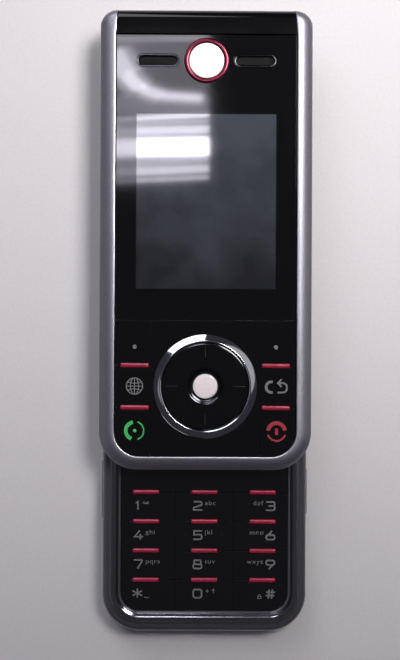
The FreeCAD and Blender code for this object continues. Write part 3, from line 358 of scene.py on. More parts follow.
def turned(profile, centre, steps=96):
    """A profile of (radius, level) turned about an upright axis."""
    return loft([[(centre[0] + radius * way.x, centre[1] + radius * way.y, level) for radius, level in profile]
                 for way in circle((0, 0), 1, steps)])


def stroke(points, width, low, high, closed=False):
    """A flat ribbon of even width along points."""
    rings = []
    count = len(points)
    for at, here in enumerate(points):
        before = points[at - 1] if at or closed else here
        after = points[(at + 1) % count] if at < count - 1 or closed else here
        into = (here - before).normalized() if here != before else (after - here).normalized()
        away = (after - here).normalized() if after != here else into
        side = Vector((-(into + away).y, (into + away).x)).normalized()
        side *= width / 2 / max(0.5, side.dot(Vector((-into.y, into.x))))
        left, right = here + side, here - side
        rings.append([(*left, low), (*right, low), (*right, high), (*left, high)])
    return loft(rings, closed)


def joined(*shapes):
    """Several shapes as one."""
    verts, faces = [], []
    for more_verts, more_faces in shapes:
        faces += [tuple(at + len(verts) for at in face) for face in more_faces]
        verts += more_verts
    return verts, faces


# ----------------------------------------------------------- mesh helpers

WELD = 0.002
# Angles in degrees from which an edge is shaded sharp and from which it is
# rounded, and the share of a normal from which a face counts as dead flat.
SHARP = 32.0
ROUND_FROM = 28.0
DEAD_FLAT = 0.99999


def corner_box(node):
    """A node's lowest and highest corner in millimetres."""
    low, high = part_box(node)
    return low / MM, high / MM


def edited(mesh, change):
    """Put a mesh through a change."""
    work = bmesh.new()
    work.from_mesh(mesh)
    change(work)
    work.to_mesh(mesh)
    work.free()


def welded(work):
    """Join the corners that lie in one spot."""
    bmesh.ops.remove_doubles(work, verts=work.verts, dist=WELD * MM)


def closed_up(work):
    """Close seams and poles, drop loose edges and point all faces outward."""
    welded(work)
    bmesh.ops.dissolve_degenerate(work, edges=work.edges, dist=WELD / 2 * MM)
    bmesh.ops.delete(work, geom=[edge for edge in work.edges if not edge.link_faces], context="EDGES")
    bmesh.ops.recalc_face_normals(work, faces=work.faces)


def smoothed(mesh, sharp):
    """Smooth all edges but the sharp ones."""
    mesh.shade_smooth()
    mesh.set_sharp_from_angle(angle=math.radians(sharp))


def seated(mesh, sharp=SHARP):
    """Close a mesh up and smooth it."""
    edited(mesh, closed_up)
    smoothed(mesh, sharp)


def levelled(mesh):
    """Shade the faces that lie dead flat as flat, so that rounded edges don't bend their reflections."""
    for face in mesh.polygons:
        if max(abs(part) for part in face.normal) > DEAD_FLAT:
            face.use_smooth = False


def new_mesh(name, verts, faces=()):
    """A mesh from corners in millimetres."""
    mesh = bpy.data.meshes.new(name)
    mesh.from_pydata([tuple(part * MM for part in vert) for vert in verts], [], faces)
    return mesh


def new_object(name, data):
    """A new object at the origin."""
    obj = bpy.data.objects.new(name, data)
    bpy.context.scene.collection.objects.link(obj)
    return obj


def evaluated(obj, name):
    """The plain mesh that an object comes to.  The object goes."""
    graph = bpy.context.evaluated_depsgraph_get()
    mesh = bpy.data.meshes.new_from_object(obj.evaluated_get(graph))
    mesh.name = name
    bpy.data.objects.remove(obj)
    return mesh


def fitted(name, mesh, material, body, nodes=()):
    """One finished piece: its material, the body it rides on and the nodes it stands for."""
    obj = new_object(name, mesh)
    if material:
        mesh.materials.clear()
        mesh.materials.append(material)
    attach(obj, body)
    if nodes:
        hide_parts(*nodes)
    return obj


def solid(name, shape, material, body, nodes=(), sharp=SHARP):
    """One piece from a shape."""
    mesh = new_mesh(name, *shape)
    seated(mesh, sharp)
    return fitted(name, mesh, material, body, nodes)


def flat_mesh(name, loops, low, high, edge):
    """A plate with its holes from closed loops of points, with rounded edges, as a mesh."""
    curve = bpy.data.curves.new(name, "CURVE")
    curve.dimensions = "2D"
    curve.fill_mode = "BOTH"
    curve.extrude = ((high - low) / 2 - edge) * MM
    curve.bevel_depth = edge * MM
    curve.bevel_resolution = 2
    curve.offset = -edge * MM
    for loop in loops:
        spline = curve.splines.new("POLY")
        spline.points.add(len(loop) - 1)
        spline.use_cyclic_u = True
        for point, spot in zip(spline.points, loop):
            point.co = (spot[0] * MM, spot[1] * MM, 0, 1)
    obj = bpy.data.objects.new(name, curve)
    mesh = bpy.data.meshes.new_from_object(obj)
    bpy.data.objects.remove(obj)
    bpy.data.curves.remove(curve)
    mesh.transform(Matrix.Translation((0, 0, (low + high) / 2 * MM)))
    mesh.name = name
    seated(mesh)
    levelled(mesh)
    return mesh


def softened(node, edge, material, body):
    """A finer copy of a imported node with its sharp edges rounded."""
    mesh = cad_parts[node].data.copy()
    edited(mesh, welded)
    mesh.materials.clear()
    rough = new_object(node + "_rough", mesh)
    rounding = rough.modifiers.new("edges", "BEVEL")
    rounding.width = edge * MM
    rounding.segments = 2
    rounding.limit_method = "ANGLE"
    rounding.angle_limit = math.radians(ROUND_FROM)
    rounding.miter_outer = "MITER_ARC"
    rounding.use_clamp_overlap = True
    rounding.loop_slide = False
    fine = evaluated(rough, node + "_fine")
    smoothed(fine, SHARP)
    levelled(fine)
    return fitted(node + "_fine", fine, material, body, [node])


# ------------------------------------------------- display half: its frame

FRAME_LOW, FRAME_HIGH = corner_box("slider_frame")
LENS_LOW, LENS_HIGH = corner_box("display_lens")
OUTER_CORNER = 9.0
TOP_CORNER = 4.0
INNER_CORNER = 6.0
LENS_GAP = 0.25
END_BAND = 3.1
CAP_SLANT = 0.5
CROWN_WIDTH = 3.2
CROWN_RADIUS = 4.15
END_ROLL = 2.2
EDGE_WIDTH = 0.16
EDGE_SLOPE = 0.22
# How far apart the frame's lines lie across its crown, closer at the outer edge.
CROWN_LINES = (0, 0.02, 0.08, 0.18, 0.32, 0.5, 0.72, 0.98, 1.28, 1.6, 1.95, 2.3, 2.7, 3.1)

# Where sections lie on the straight of the lower edge and along the rails.
EDGE_STATIONS = (0, 8)
RAIL_STATIONS = (20, 45, 70, LENS_HIGH.y)
# The foot is drawn in by a share of the band's width, up to a small height.
HEM_SHARE, HEM_HEIGHT = 0.06, 0.2
# The polished line lies close under the crown, faces at least a little upward
# and ends just past the lens.  Its outline has no end there, so it runs on.
LINE_DEPTH, LINE_FACING, LINE_PAST, LINE_OUTLINE = 1.2, 0.05, 1.5, 300

SLIDER_HALF = FRAME_HIGH.x
INNER_HALF = LENS_HIGH.x + LENS_GAP
INNER_LOW = FRAME_LOW.y + END_BAND


def depth_inside(spot, half, low, high, low_radius, high_radius):
    """How far a spot lies inside an even rounded rectangle; below zero outside it."""
    middle = (low + high) / 2
    radius = low_radius if spot.y < middle else high_radius
    across = abs(spot.x) - (half - radius)
    along = abs(spot.y - middle) - ((high - low) / 2 - radius)
    beyond = Vector((max(across, 0), max(along, 0))).length
    return radius - beyond - min(max(across, along), 0)


def endward(spot):
    """How far a spot near the top end faces that end: nought on the rails, one on the end itself."""
    across = max(abs(spot.x) - (SLIDER_HALF - TOP_CORNER), 0)
    along = max(spot.y - (FRAME_HIGH.y - TOP_CORNER), 0)
    return along * along / (across * across + along * along) if along else 0.0


def fall(depth, width, radius):
    """How far a round of a radius has fallen at a depth, when it begins at a width."""
    reach = width * (1 - min(max(depth / width, 0), 1))
    return radius - math.sqrt(radius ** 2 - reach ** 2)


def frame_level(spot, from_inner):
    """The height of the frame's crowned top at a spot: an arc on the sides, a quarter roll at the top end."""
    depth = depth_inside(spot, SLIDER_HALF, FRAME_LOW.y, FRAME_HIGH.y, OUTER_CORNER, TOP_CORNER)
    share = endward(spot)
    on_side = fall(depth, CROWN_WIDTH, CROWN_RADIUS) * (1 - share)
    on_end = fall(depth, END_ROLL, END_ROLL) * share
    return FRAME_HIGH.z - on_side - on_end - EDGE_SLOPE * max(0.0, EDGE_WIDTH - from_inner)


def frame_stations():
    """Matched outer and inner points from the middle of the lower edge up the right rail."""
    corner_x = SLIDER_HALF - OUTER_CORNER
    stations = [(Vector((x, FRAME_LOW.y)), Vector((x * (INNER_HALF - INNER_CORNER) / corner_x, INNER_LOW)))
                for x in EDGE_STATIONS]
    stations += zip(arc((corner_x, FRAME_LOW.y + OUTER_CORNER), OUTER_CORNER, -90, 0),
                    arc((INNER_HALF - INNER_CORNER, INNER_LOW + INNER_CORNER), INNER_CORNER, -90, 0))
    stations += [(Vector((SLIDER_HALF, along)), Vector((INNER_HALF, along))) for along in RAIL_STATIONS]
    top = (SLIDER_HALF - TOP_CORNER, FRAME_HIGH.y - TOP_CORNER)
    for spot in arc(top, TOP_CORNER, 0, 86, 18):
        slant = CAP_SLANT * (spot.y - LENS_HIGH.y) / (FRAME_HIGH.y - LENS_HIGH.y)
        stations.append((spot, Vector((INNER_HALF - slant, spot.y))))
    return stations


def frame_ring(outer, inner):
    """One section of the frame, as a closed ring of points."""
    width = (inner - outer).length
    edge = EDGE_WIDTH / width
    shares = [line / CROWN_LINES[-1] * max(0.0, 1 - edge) for line in CROWN_LINES]
    shares += [max(0.0, 1 - edge * left) for left in (0.67, 0.34, 0.0)]
    spots = [(outer.lerp(inner, share), width * (1 - share)) for share in shares]
    return ([(*outer.lerp(inner, HEM_SHARE), FRAME_LOW.z), (*outer, FRAME_LOW.z + HEM_HEIGHT)]
            + [(*spot, frame_level(spot, from_inner)) for spot, from_inner in spots] + [(*inner, FRAME_LOW.z)])


right_side = frame_stations()
left_side = [(Vector((-a.x, a.y)), Vector((-b.x, b.y))) for a, b in reversed(right_side[1:])]
slider_frame = solid("slider_frame_shell", loft([frame_ring(*pair) for pair in left_side + right_side], False),
                     GUNMETAL, "slider", ["slider_frame"], sharp=40)
slider_frame.data.materials.append(POLISHED_EDGE)
for face in slider_frame.data.polygons:
    spot = face.center / MM
    outside = -depth_inside(spot.xy, INNER_HALF, INNER_LOW, LINE_OUTLINE, INNER_CORNER, 1)
    near_crown = spot.z > FRAME_HIGH.z - LINE_DEPTH and face.normal.z > LINE_FACING
    if outside < EDGE_WIDTH and near_crown and spot.y < LENS_HIGH.y + LINE_PAST:
        face.material_index = 1

# --------------------------------------------------- display half: the lens

EMBLEM = (0.0, sum(bound.y for bound in corner_box("emblem_disc")) / 2)
RING_LOW, RING_HIGH = corner_box("emblem_ring")
SLOT_LENGTH = 9.8
SLOT_WIDTH = 2.9
SLOT_RIM = 0.55
SLOT_X = corner_box("earpiece_trims")[1].x - SLOT_LENGTH / 2
SLOTS = ((-SLOT_X, EMBLEM[1]), (SLOT_X, EMBLEM[1]))
WINDOW_HALF = 16.4
WINDOW_LOW = 27.85
WINDOW_HIGH = 68.95
WINDOW_BLUR = 0.12
GRID = 3.0


def window_mask(tree, spot):
    """One inside the clear window of the lens and nought outside it, with a soft edge."""
    sides = []
    for axis, low, high in (("X", -WINDOW_HALF, WINDOW_HALF), ("Y", WINDOW_LOW, WINDOW_HIGH)):
        away = maths(tree, "SUBTRACT", coordinate(tree, spot, axis), (low + high) / 2 * MM)
        reach = (high - low) / 2
        sides.append(spread(tree, maths(tree, "ABSOLUTE", away), 0, 1,
                            (reach + WINDOW_BLUR) * MM, (reach - WINDOW_BLUR) * MM))
    return maths(tree, "MULTIPLY", *sides)


def lens_print(tree, spot):
    """Black print behind clear acrylic, left open over the dark display; there the display's near-black is lifted
    to a painted glare, uneven in patches and paler toward the top, while the same patches vary the roughness as
    smudges.
    """
    mask = window_mask(tree, spot)
    smudges_and_glare = grain(tree, spot, 11, 3.0)
    # Painted glare: the window grows paler toward the top and uneven in patches.
    paler = spread(tree, coordinate(tree, spot, "Y"), -0.36, 0.3, WINDOW_LOW * MM, WINDOW_HIGH * MM)
    painted_glare = ramp(tree, maths(tree, "ADD", smudges_and_glare, paler), [(0.1, "#1B1C1F"), (0.75, "#41444C")])
    tone = add_node(tree, "ShaderNodeMix", {"data_type": "RGBA", 6: linear("#070708")}, {0: mask, 7: painted_glare})
    return {"Base Color": tone.outputs[2], "Coat Weight": mask, "Roughness": spread(tree, smudges_and_glare, 0.035, 0.06)}


# Hard-coated clear acrylic, printed black on its back except over the display: a deep black mirror with a window in
# it, whose grey-blue tone is painted glare over the dark display.
LENS_ACRYLIC = finish("hard_coated_printed_acrylic", "#08080A", 0.05,
                      {"IOR": 1.49, "Coat Roughness": 0.035, "Coat IOR": 1.6}, lens_print)


def gridded(work):
    """Cut a sheet along an even grid so that it can bend."""
    for axis in (0, 1):
        places = [vert.co[axis] for vert in work.verts]
        low, high = min(places), max(places)
        count = int((high - low) / (GRID * MM))
        for step in range(1, count):
            spot, facing = Vector((0, 0, 0)), Vector((0, 0, 0))
            spot[axis] = low + (high - low) * step / count
            facing[axis] = 1
            bmesh.ops.bisect_plane(work, geom=work.verts[:] + work.edges[:] + work.faces[:],
                                   dist=1e-7, plane_co=spot, plane_no=facing)


LENS_FALL = 0.16
LENS_FALL_START = 66.0
HOLE_GAP = 0.05


def lens_drop(along):
    """How far the lens has curved down at a place along the phone."""
    share = max(0.0, (along - LENS_FALL_START) / (LENS_HIGH.y - LENS_FALL_START))
    return LENS_FALL * share * share


def curved_normals(mesh):
    """Give the broad faces of the gently curved lens the normals of the curve itself."""
    mesh.shade_smooth()
    normals = [Vector((0, 0, 0))] * len(mesh.loops)
    for face in mesh.polygons:
        if abs(face.normal.z) < 0.995:
            continue
        for corner in face.loop_indices:
            along = mesh.vertices[mesh.loops[corner].vertex_index].co.y / MM
            slope = (lens_drop(along + 0.05) - lens_drop(along - 0.05)) / 0.1
            upward = Vector((0, slope, 1)).normalized()
            normals[corner] = upward if face.normal.z > 0 else -upward
    mesh.normals_split_custom_set(normals)


lens_loops = [outline(box(*LENS_LOW.xy, *LENS_HIGH.xy)), circle(EMBLEM, RING_HIGH.x + HOLE_GAP, steps=64)]
lens_loops += [stadium(slot, SLOT_LENGTH + 2 * HOLE_GAP, SLOT_WIDTH + 2 * HOLE_GAP) for slot in reversed(SLOTS)]
lens_mesh = flat_mesh("lens_sheet", lens_loops, LENS_LOW.z, LENS_HIGH.z, 0.1)
edited(lens_mesh, gridded)
for vert in lens_mesh.vertices:
    vert.co.z -= lens_drop(vert.co.y / MM) * MM
curved_normals(lens_mesh)
fitted("display_lens_sheet", lens_mesh, LENS_ACRYLIC, "slider", ["display_lens"])

# ------------------------------------------------ display half: the top cap

CAP_LOW, CAP_HIGH = corner_box("top_cap")
CAP_ROLL = 2.2
CAP_FALL = 0.03


def cap_level(along):
    """The height of the cap's top: a faint fall, then a quarter roll over the end."""
    over = min(1.0, max(0.0, along - CAP_HIGH.y + CAP_ROLL) / CAP_ROLL)
    return CAP_HIGH.z - CAP_FALL * (along - CAP_LOW.y) - CAP_ROLL * (1 - math.sqrt(1 - over * over))


roll = [CAP_HIGH.y - CAP_ROLL * (1 - math.sin(math.radians(angle))) for angle in range(0, 91, 6)]
cap_section = [(CAP_LOW.y, CAP_LOW.z), (CAP_LOW.y, CAP_HIGH.z - 0.1)]
cap_section += [(along, cap_level(along)) for along in [CAP_LOW.y + 0.1, CAP_LOW.y + 1.2] + roll]
cap_section += [(CAP_HIGH.y, CAP_LOW.z)]
cap_rings = []
for share, trim in ((-1.0, 0.08), (-0.996, 0), (-0.6, 0), (0.0, 0), (0.6, 0), (0.996, 0), (1.0, 0.08)):
    ring = []
    for along, level in cap_section:
        half = CAP_HIGH.x - CAP_SLANT * max(0.0, along - CAP_LOW.y) / (CAP_HIGH.y - CAP_LOW.y)
        ring.append((share * half, along, max(CAP_LOW.z, level - trim)))
    cap_rings.append(ring)
solid("top_cap_shell", loft(cap_rings, False), BLACK_GLOSS, "slider", ["top_cap"], sharp=24)

# ------------------------------------- display half: emblem and ear openings

DISC_LOW, DISC_HIGH = corner_box("emblem_disc")
ring_profile = [(RING_HIGH.x, RING_LOW.z)] + inward(*RING_HIGH.xz, [(0, -0.28), (0.08, -0.08), (0.3, 0)])
ring_profile += inward(DISC_HIGH.x, RING_HIGH.z, [(-0.22, -0.02), (-0.06, -0.12)])
ring_profile += [(DISC_HIGH.x + 0.04, RING_LOW.z)]
solid("emblem_ring_turned", turned(ring_profile, EMBLEM), RUBY_RING, "slider", ["emblem_ring"])
disc_profile = [(0, DISC_LOW.z), (DISC_HIGH.x, DISC_LOW.z)] + inward(*DISC_HIGH.xz, [(0, -0.1), (0.1, -0.02)])
disc_profile += [(DISC_HIGH.x * share, DISC_HIGH.z + 0.05 * (1 - share * share)) for share in (0.85, 0.6, 0.3, 0)]
solid("emblem_disc_struck", turned(disc_profile, EMBLEM), SILVER_BADGE, "slider", ["emblem_disc"])

# Each ear opening has a plated rim round felt under a woven grille.
TRIM_LOW = corner_box("earpiece_trims")[0]
TRIM_SECTION = ((0, -0.04), (0.1, 0.02), (0.3, 0.03), (0.5, 0.0), (0.75, -0.08), (0.95, -0.2), (1, -0.3))
SLOT_OPENING = (SLOT_LENGTH - 2 * SLOT_RIM, SLOT_WIDTH - 2 * SLOT_RIM)
# How far the cloth lies below the lens, and the felt's two faces below the cloth.
CLOTH_SUNK = 0.45
FELT_SUNK = (0.3, 0.1)
ear_level = LENS_HIGH.z - lens_drop(EMBLEM[1])
ear_grille = ear_level - CLOTH_SUNK
trim_section = [(0, TRIM_LOW.z)] + [(share, ear_level + up) for share, up in TRIM_SECTION] + [(1, TRIM_LOW.z)]
trims = [band(stadium(slot, SLOT_LENGTH, SLOT_WIDTH), stadium(slot, *SLOT_OPENING), trim_section) for slot in SLOTS]
solid("earpiece_trims_plated", joined(*trims), BLACK_NICKEL, "slider", ["earpiece_trims"])
felt_loops = [stadium(slot, SLOT_LENGTH - SLOT_RIM, SLOT_WIDTH - SLOT_RIM) for slot in SLOTS]
felt_mesh = flat_mesh("earpiece_felt", felt_loops, *(ear_grille - sunk for sunk in FELT_SUNK), 0.02)
fitted("earpiece_felt", felt_mesh, FELT, "slider", ())

# ------------------------------------------- display half: the four-way key

NAV_LOW, NAV_HIGH = corner_box("nav_bezel")
NAV = ((NAV_LOW.x + NAV_HIGH.x) / 2, (NAV_LOW.y + NAV_HIGH.y) / 2)
NAV_RING_WIDTH = 1.75
FACE = LENS_HIGH.z
FOOT = LENS_LOW.z + 0.1
nav_radius, pad_radius, collar_radius, select_radius = (
    corner_box(node)[1].x - NAV[0] for node in ("nav_bezel", "nav_pad", "select_collar", "select_key"))
nav_profile = inward(nav_radius, FACE, [(0, NAV_LOW.z - FACE), (0, -0.16), (0.02, -0.12), (1.4, 0.45), (1.47, 0.49),
                                        (1.54, 0.5), (1.6, 0.48), (NAV_RING_WIDTH, 0.38),
                                        (NAV_RING_WIDTH, NAV_LOW.z - FACE)])
solid("nav_bezel_turned", turned(nav_profile, NAV, steps=160), CHROME, "slider", ["nav_bezel"],
      sharp=28)
pad_profile = [(pad_radius, FOOT)]
pad_profile += inward(pad_radius, FACE, [(0, -0.08), (0.06, 0.02), (0.25, 0.1), (0.6, 0.13),
                                         (pad_radius * 0.25, 0.09), (pad_radius * 0.4, 0.04)])
pad_profile += inward(collar_radius, FACE, [(-0.5, 0.02), (-0.1, 0.01), (-0.05, -0.1)])
pad_profile += [(collar_radius + 0.05, FOOT)]
solid("nav_pad_turned", turned(pad_profile, NAV, steps=160), BLACK_GLOSS, "nav", ["nav_pad"])

# Four raised marks point outward on the four-way key.
MARK_START = 6.6
MARK_LENGTH = 2.7
MARK_WIDTH = 0.2


def mark_shape(quarter):
    """One raised mark: it swells in the middle and climbs a little outward."""
    turn = Matrix.Rotation(math.radians(90 * quarter), 2)
    rings = []
    for share in (step / 6 for step in range(7)):
        swell = math.sin(math.pi * (0.08 + 0.84 * share)) ** 0.5
        half = MARK_WIDTH / 2 * swell
        level = FACE + 0.05 + 0.05 * share
        rings.append([(*(Vector(NAV) + turn @ Vector((MARK_START + MARK_LENGTH * share, across))), level + up)
                      for across, up in ((-half, -0.1), (half, -0.1), (half, 0.0), (half * 0.4, 0.14 * swell),
                                         (-half * 0.4, 0.14 * swell), (-half, 0.0))])
    return loft(rings, False)


solid("nav_pad_marks", joined(*map(mark_shape, range(4))), SOFT_TOUCH, "nav", ())

# The collar dishes down to the select key, and rolls over at its rim.
COLLAR_SECTION = ((0.0, 0.05), (0.1, 0.045), (0.25, 0.01), (0.4, -0.05), (0.55, -0.11), (0.7, -0.16), (0.85, -0.2),
                  (1.0, -0.22), (1.15, -0.23), (1.24, -0.3))
collar_profile = ([(collar_radius, FOOT)] + inward(collar_radius, FACE, COLLAR_SECTION)
                  + [(collar_radius - COLLAR_SECTION[-1][0], FOOT)])
solid("select_collar_turned", turned(collar_profile, NAV), BLACK_NICKEL, "nav", ["select_collar"])
select_profile = [(0, LENS_LOW.z), (select_radius, LENS_LOW.z)]
select_profile += inward(select_radius, corner_box("select_key")[1].z,
                         [(0, -0.25), (0.05, -0.12), (0.18, -0.04), (0.45, 0), (select_radius * 0.4, 0.03),
                          (select_radius * 0.7, 0.04), (select_radius, 0.045)])
solid("select_key_turned", turned(select_profile, NAV), PEARL, "select", ["select_key"])

# --------------------------------------------- the keypad half's front bezel

BEZEL_LOW, BEZEL_HIGH = corner_box("base_front_bezel")
HEADER_HIGH = corner_box("keypad_header")[1]
HASH_LOW, HASH_HIGH = corner_box("key_hash")
FIT = 0.1
DECK = 8.0
DECK_THICK = 1.2
CABLE_OPENING = (-3.6, 8.6, 3.6, 12.4, 0.4)
FLANK = 1.9
CHIN = 2.05
WINDOW_MARGIN = 1.7
PLATE_HALF = HASH_HIGH.x + FIT
WINDOW_TOP = BEZEL_HIGH.y - CHIN - WINDOW_MARGIN
WINDOW_CORNER = 4.5
RIM = (BEZEL_HIGH.x - FLANK, BEZEL_LOW.y + CHIN, BEZEL_HIGH.y - CHIN, OUTER_CORNER - FLANK)
# The shares run from 0 at the outer edge over 1 at the rim to 2 at the window.
BEZEL_SECTION = (
    (0.03, BEZEL_LOW.z), (0.0, BEZEL_LOW.z + 0.12), (0.0, 6.2), (0.02, 6.62), (0.08, 7.02), (0.18, 7.38),
    (0.32, 7.66), (0.5, 7.85), (0.7, 7.95), (0.9, 7.98), (1.0, 8.08), (1.03, 8.28), (1.06, 8.42), (1.1, 8.52),
    (1.16, 8.58), (1.22, 8.6), (1.34, 8.63), (1.44, 8.65), (1.5, 8.65), (1.55, 8.62), (1.6, 8.57), (1.66, 8.5),
    (1.72, 8.42), (1.78, 8.34), (1.81, 8.31), (1.84, 8.32), (1.87, 8.31), (1.91, 8.27), (1.95, 8.2), (1.98, 8.1),
    (2.0, 8.0), (2.0, 6.8), (1.0, BEZEL_LOW.z))
# How far inside the rim the cut line ends and the plated slope begins, and
# the level above which each lies.
CUT_DEPTH, CUT_LEVEL = 0.5, 8.52
SLOPE_DEPTH, SLOPE_LEVEL = 0.6, 8.32

bezel_rings = []
for far, middle, near in zip(
        outline(box(-BEZEL_HIGH.x, BEZEL_LOW.y, *BEZEL_HIGH.xy, OUTER_CORNER)),
        outline(box(-RIM[0], RIM[1], RIM[0], RIM[2], RIM[3])),
        outline(box(-PLATE_HALF, HASH_LOW.y - FIT, PLATE_HALF, WINDOW_TOP, WINDOW_CORNER))):
    bezel_rings.append([(*(far.lerp(middle, share) if share < 1 else middle.lerp(near, share - 1)), level)
                        for share, level in BEZEL_SECTION])
bezel = solid("front_bezel_moulding", loft(bezel_rings), SMOKED, "base", ["base_front_bezel"],
              sharp=40)
bezel.data.materials.append(DARK_CHROME)
bezel.data.materials.append(CUT_LINE)
for face in bezel.data.polygons:
    spot = face.center / MM
    inside = depth_inside(spot.xy, *RIM, RIM[3])
    if spot.z > SLOPE_LEVEL and inside > SLOPE_DEPTH:
        face.material_index = 1
    elif spot.z > CUT_LEVEL and 0 < inside < CUT_DEPTH:
        face.material_index = 2
deck_loops = [outline(box(-PLATE_HALF, HEADER_HIGH.y + 0.02, PLATE_HALF, WINDOW_TOP, 0.1, WINDOW_CORNER)),
              outline(box(*CABLE_OPENING), steps=4)]
deck_mesh = flat_mesh("front_bezel_deck", deck_loops, DECK - DECK_THICK, DECK, 0.05)
fitted("front_bezel_deck", deck_mesh, SOFT_TOUCH, "base", ())

# ------------------------------------------ keys and plates, edges rounded

# The figure and the letters of each number key.
LEGENDS = (("1", ""), ("2", "abc"), ("3", "def"), ("4", "ghi"), ("5", "jkl"), ("6", "mno"),
           ("7", "pqrs"), ("8", "tuv"), ("9", "wxyz"), ("*", ""), ("0", ""), ("#", ""))
NUMBER_KEYS = ["key_" + {"*": "star", "#": "hash"}.get(figure, figure) for figure, _ in LEGENDS]
FRONT_KEYS = ("left_soft_key", "right_soft_key", "globe_key", "clear_key", "call_key", "end_key")
KEY_EDGE = 0.012
for keys, plate, body, material in ((NUMBER_KEYS, "keypad_header", "base", BLACK_KEY),
                                    (FRONT_KEYS, "nav_surround", "slider", BLACK_GLOSS)):
    for key in keys:
        softened(key, KEY_EDGE, material, key + "_press")
    softened(plate, KEY_EDGE, material, body)


# -------------------------------------------------------- repeated pieces

def repeat_tree():
    """A node tree that sets one shape on every point of its host and gives it a finish."""
    tree = bpy.data.node_groups.new("set_on_points", "GeometryNodeTree")
    for name, kind in (("Geometry", "Geometry"), ("Shape", "Object"), ("Finish", "Material"), ("Turn", "Float")):
        tree.interface.new_socket(name, in_out="INPUT", socket_type="NodeSocket" + kind)
    tree.interface.new_socket("Geometry", in_out="OUTPUT", socket_type="NodeSocketGeometry")
    given = add_node(tree, "NodeGroupInput").outputs
    shape = add_node(tree, "GeometryNodeObjectInfo", (), {"Object": given["Shape"]})
    turn = add_node(tree, "ShaderNodeCombineXYZ", (), {"Z": given["Turn"]})
    many = add_node(tree, "GeometryNodeInstanceOnPoints", (),
                    {"Points": given["Geometry"], "Instance": shape.outputs["Geometry"],
                     "Rotation": turn.outputs["Vector"]})
    real = add_node(tree, "GeometryNodeRealizeInstances", (), {"Geometry": many.outputs["Instances"]})
    clad = add_node(tree, "GeometryNodeSetMaterial", (), {"Geometry": real.outputs["Geometry"],
                                                         "Material": given["Finish"]})
    add_node(tree, "NodeGroupOutput", (), {"Geometry": clad.outputs["Geometry"]})
    return tree


REPEAT = repeat_tree()


def repeated(name, shape, spots, material, body, nodes, turn=0.0):
    """One shape set on many spots, as one plain mesh that rides on a body."""
    pattern = new_object(name + "_pattern", new_mesh(name + "_pattern", *shape))
    seated(pattern.data)
    host = new_object(name + "_spots", new_mesh(name + "_spots", spots))
    repeat = host.modifiers.new("repeat", "NODES")
    repeat.node_group = REPEAT
    given = {"Shape": pattern, "Finish": material, "Turn": turn}
    for item in REPEAT.interface.items_tree:
        if item.in_out == "INPUT" and item.name in given:
            repeat[item.identifier] = given[item.name]
    mesh = evaluated(host, name)
    bpy.data.objects.remove(pattern)
    return fitted(name, mesh, None, body, nodes)


BAR_CORNER = 0.22
BAR_SEAT = 0.02


def bar_shape(length, width, depth):
    """A light bar: rounded corners and a softly crowned top, its top middle at nought."""
    rings = []
    for share, level in ((1.0, -depth), (1.0, -0.34), (0.97, -0.2), (0.86, -0.1), (0.6, -0.03), (0.25, 0.0)):
        narrow = 1 - (1 - share) * width / length
        rings.append([(point.x * narrow, point.y * share, level)
                      for point in outline(box(-length / 2, -width / 2, length / 2, width / 2, BAR_CORNER), 5)])
    return loft(rings, False)


BAR_LOW, BAR_HIGH = corner_box("keypad_light_bars")
BAR_SIZE = (6.3, 1.0)
BAR_X = BAR_HIGH.x - BAR_SIZE[0] / 2
FIRST_ROW = BAR_HIGH.y - BAR_SIZE[1] / 2
ROW = (FIRST_ROW - (BAR_LOW.y + BAR_SIZE[1] / 2)) / 3
repeated("keypad_light_guides", bar_shape(*BAR_SIZE, BAR_HIGH.z - BAR_LOW.z - BAR_SEAT),
         [(column * BAR_X, FIRST_ROW - row * ROW, BAR_HIGH.z) for row in range(4) for column in (-1, 0, 1)],
         RED_GUIDE, "base", ["keypad_light_bars"])
FRONT_BAR_LOW, FRONT_BAR_HIGH = corner_box("front_light_bars")
FRONT_BAR_SIZE = (6.65, 1.05)
ICON_X = FRONT_BAR_HIGH.x - FRONT_BAR_SIZE[0] / 2
repeated("front_light_guides", bar_shape(*FRONT_BAR_SIZE, FRONT_BAR_HIGH.z - FRONT_BAR_LOW.z - BAR_SEAT),
         [(side * ICON_X, level, FRONT_BAR_HIGH.z) for side in (-1, 1)
          for level in (FRONT_BAR_HIGH.y - FRONT_BAR_SIZE[1] / 2, FRONT_BAR_LOW.y + FRONT_BAR_SIZE[1] / 2)],
         RED_GUIDE, "slider", ["front_light_bars"])

# ------------------------------------------------------- printed legends

INK = 0.02
INK_LAYER = 0.004
INK_FOOT = 0.01
KEY_FACE = HASH_HIGH.z
FIELD = 2.4
DIGIT_STROKE = 0.38
SIGN_HEIGHT = 1.15
SIGN_STROKE = 0.16
LETTER_HEIGHT = 1.1
LETTER_STRETCH = 1.15
LETTER_SPACING = 1.15
LETTER_RISE = 0.1
# How much of a font's size its capitals take up.
CAPITAL_SHARE = 0.72
LEGEND_DROP = 3.3
LEGEND_GAP = 0.5
FIGURE_LEFTS = (-17.0, -2.8, 14.7)

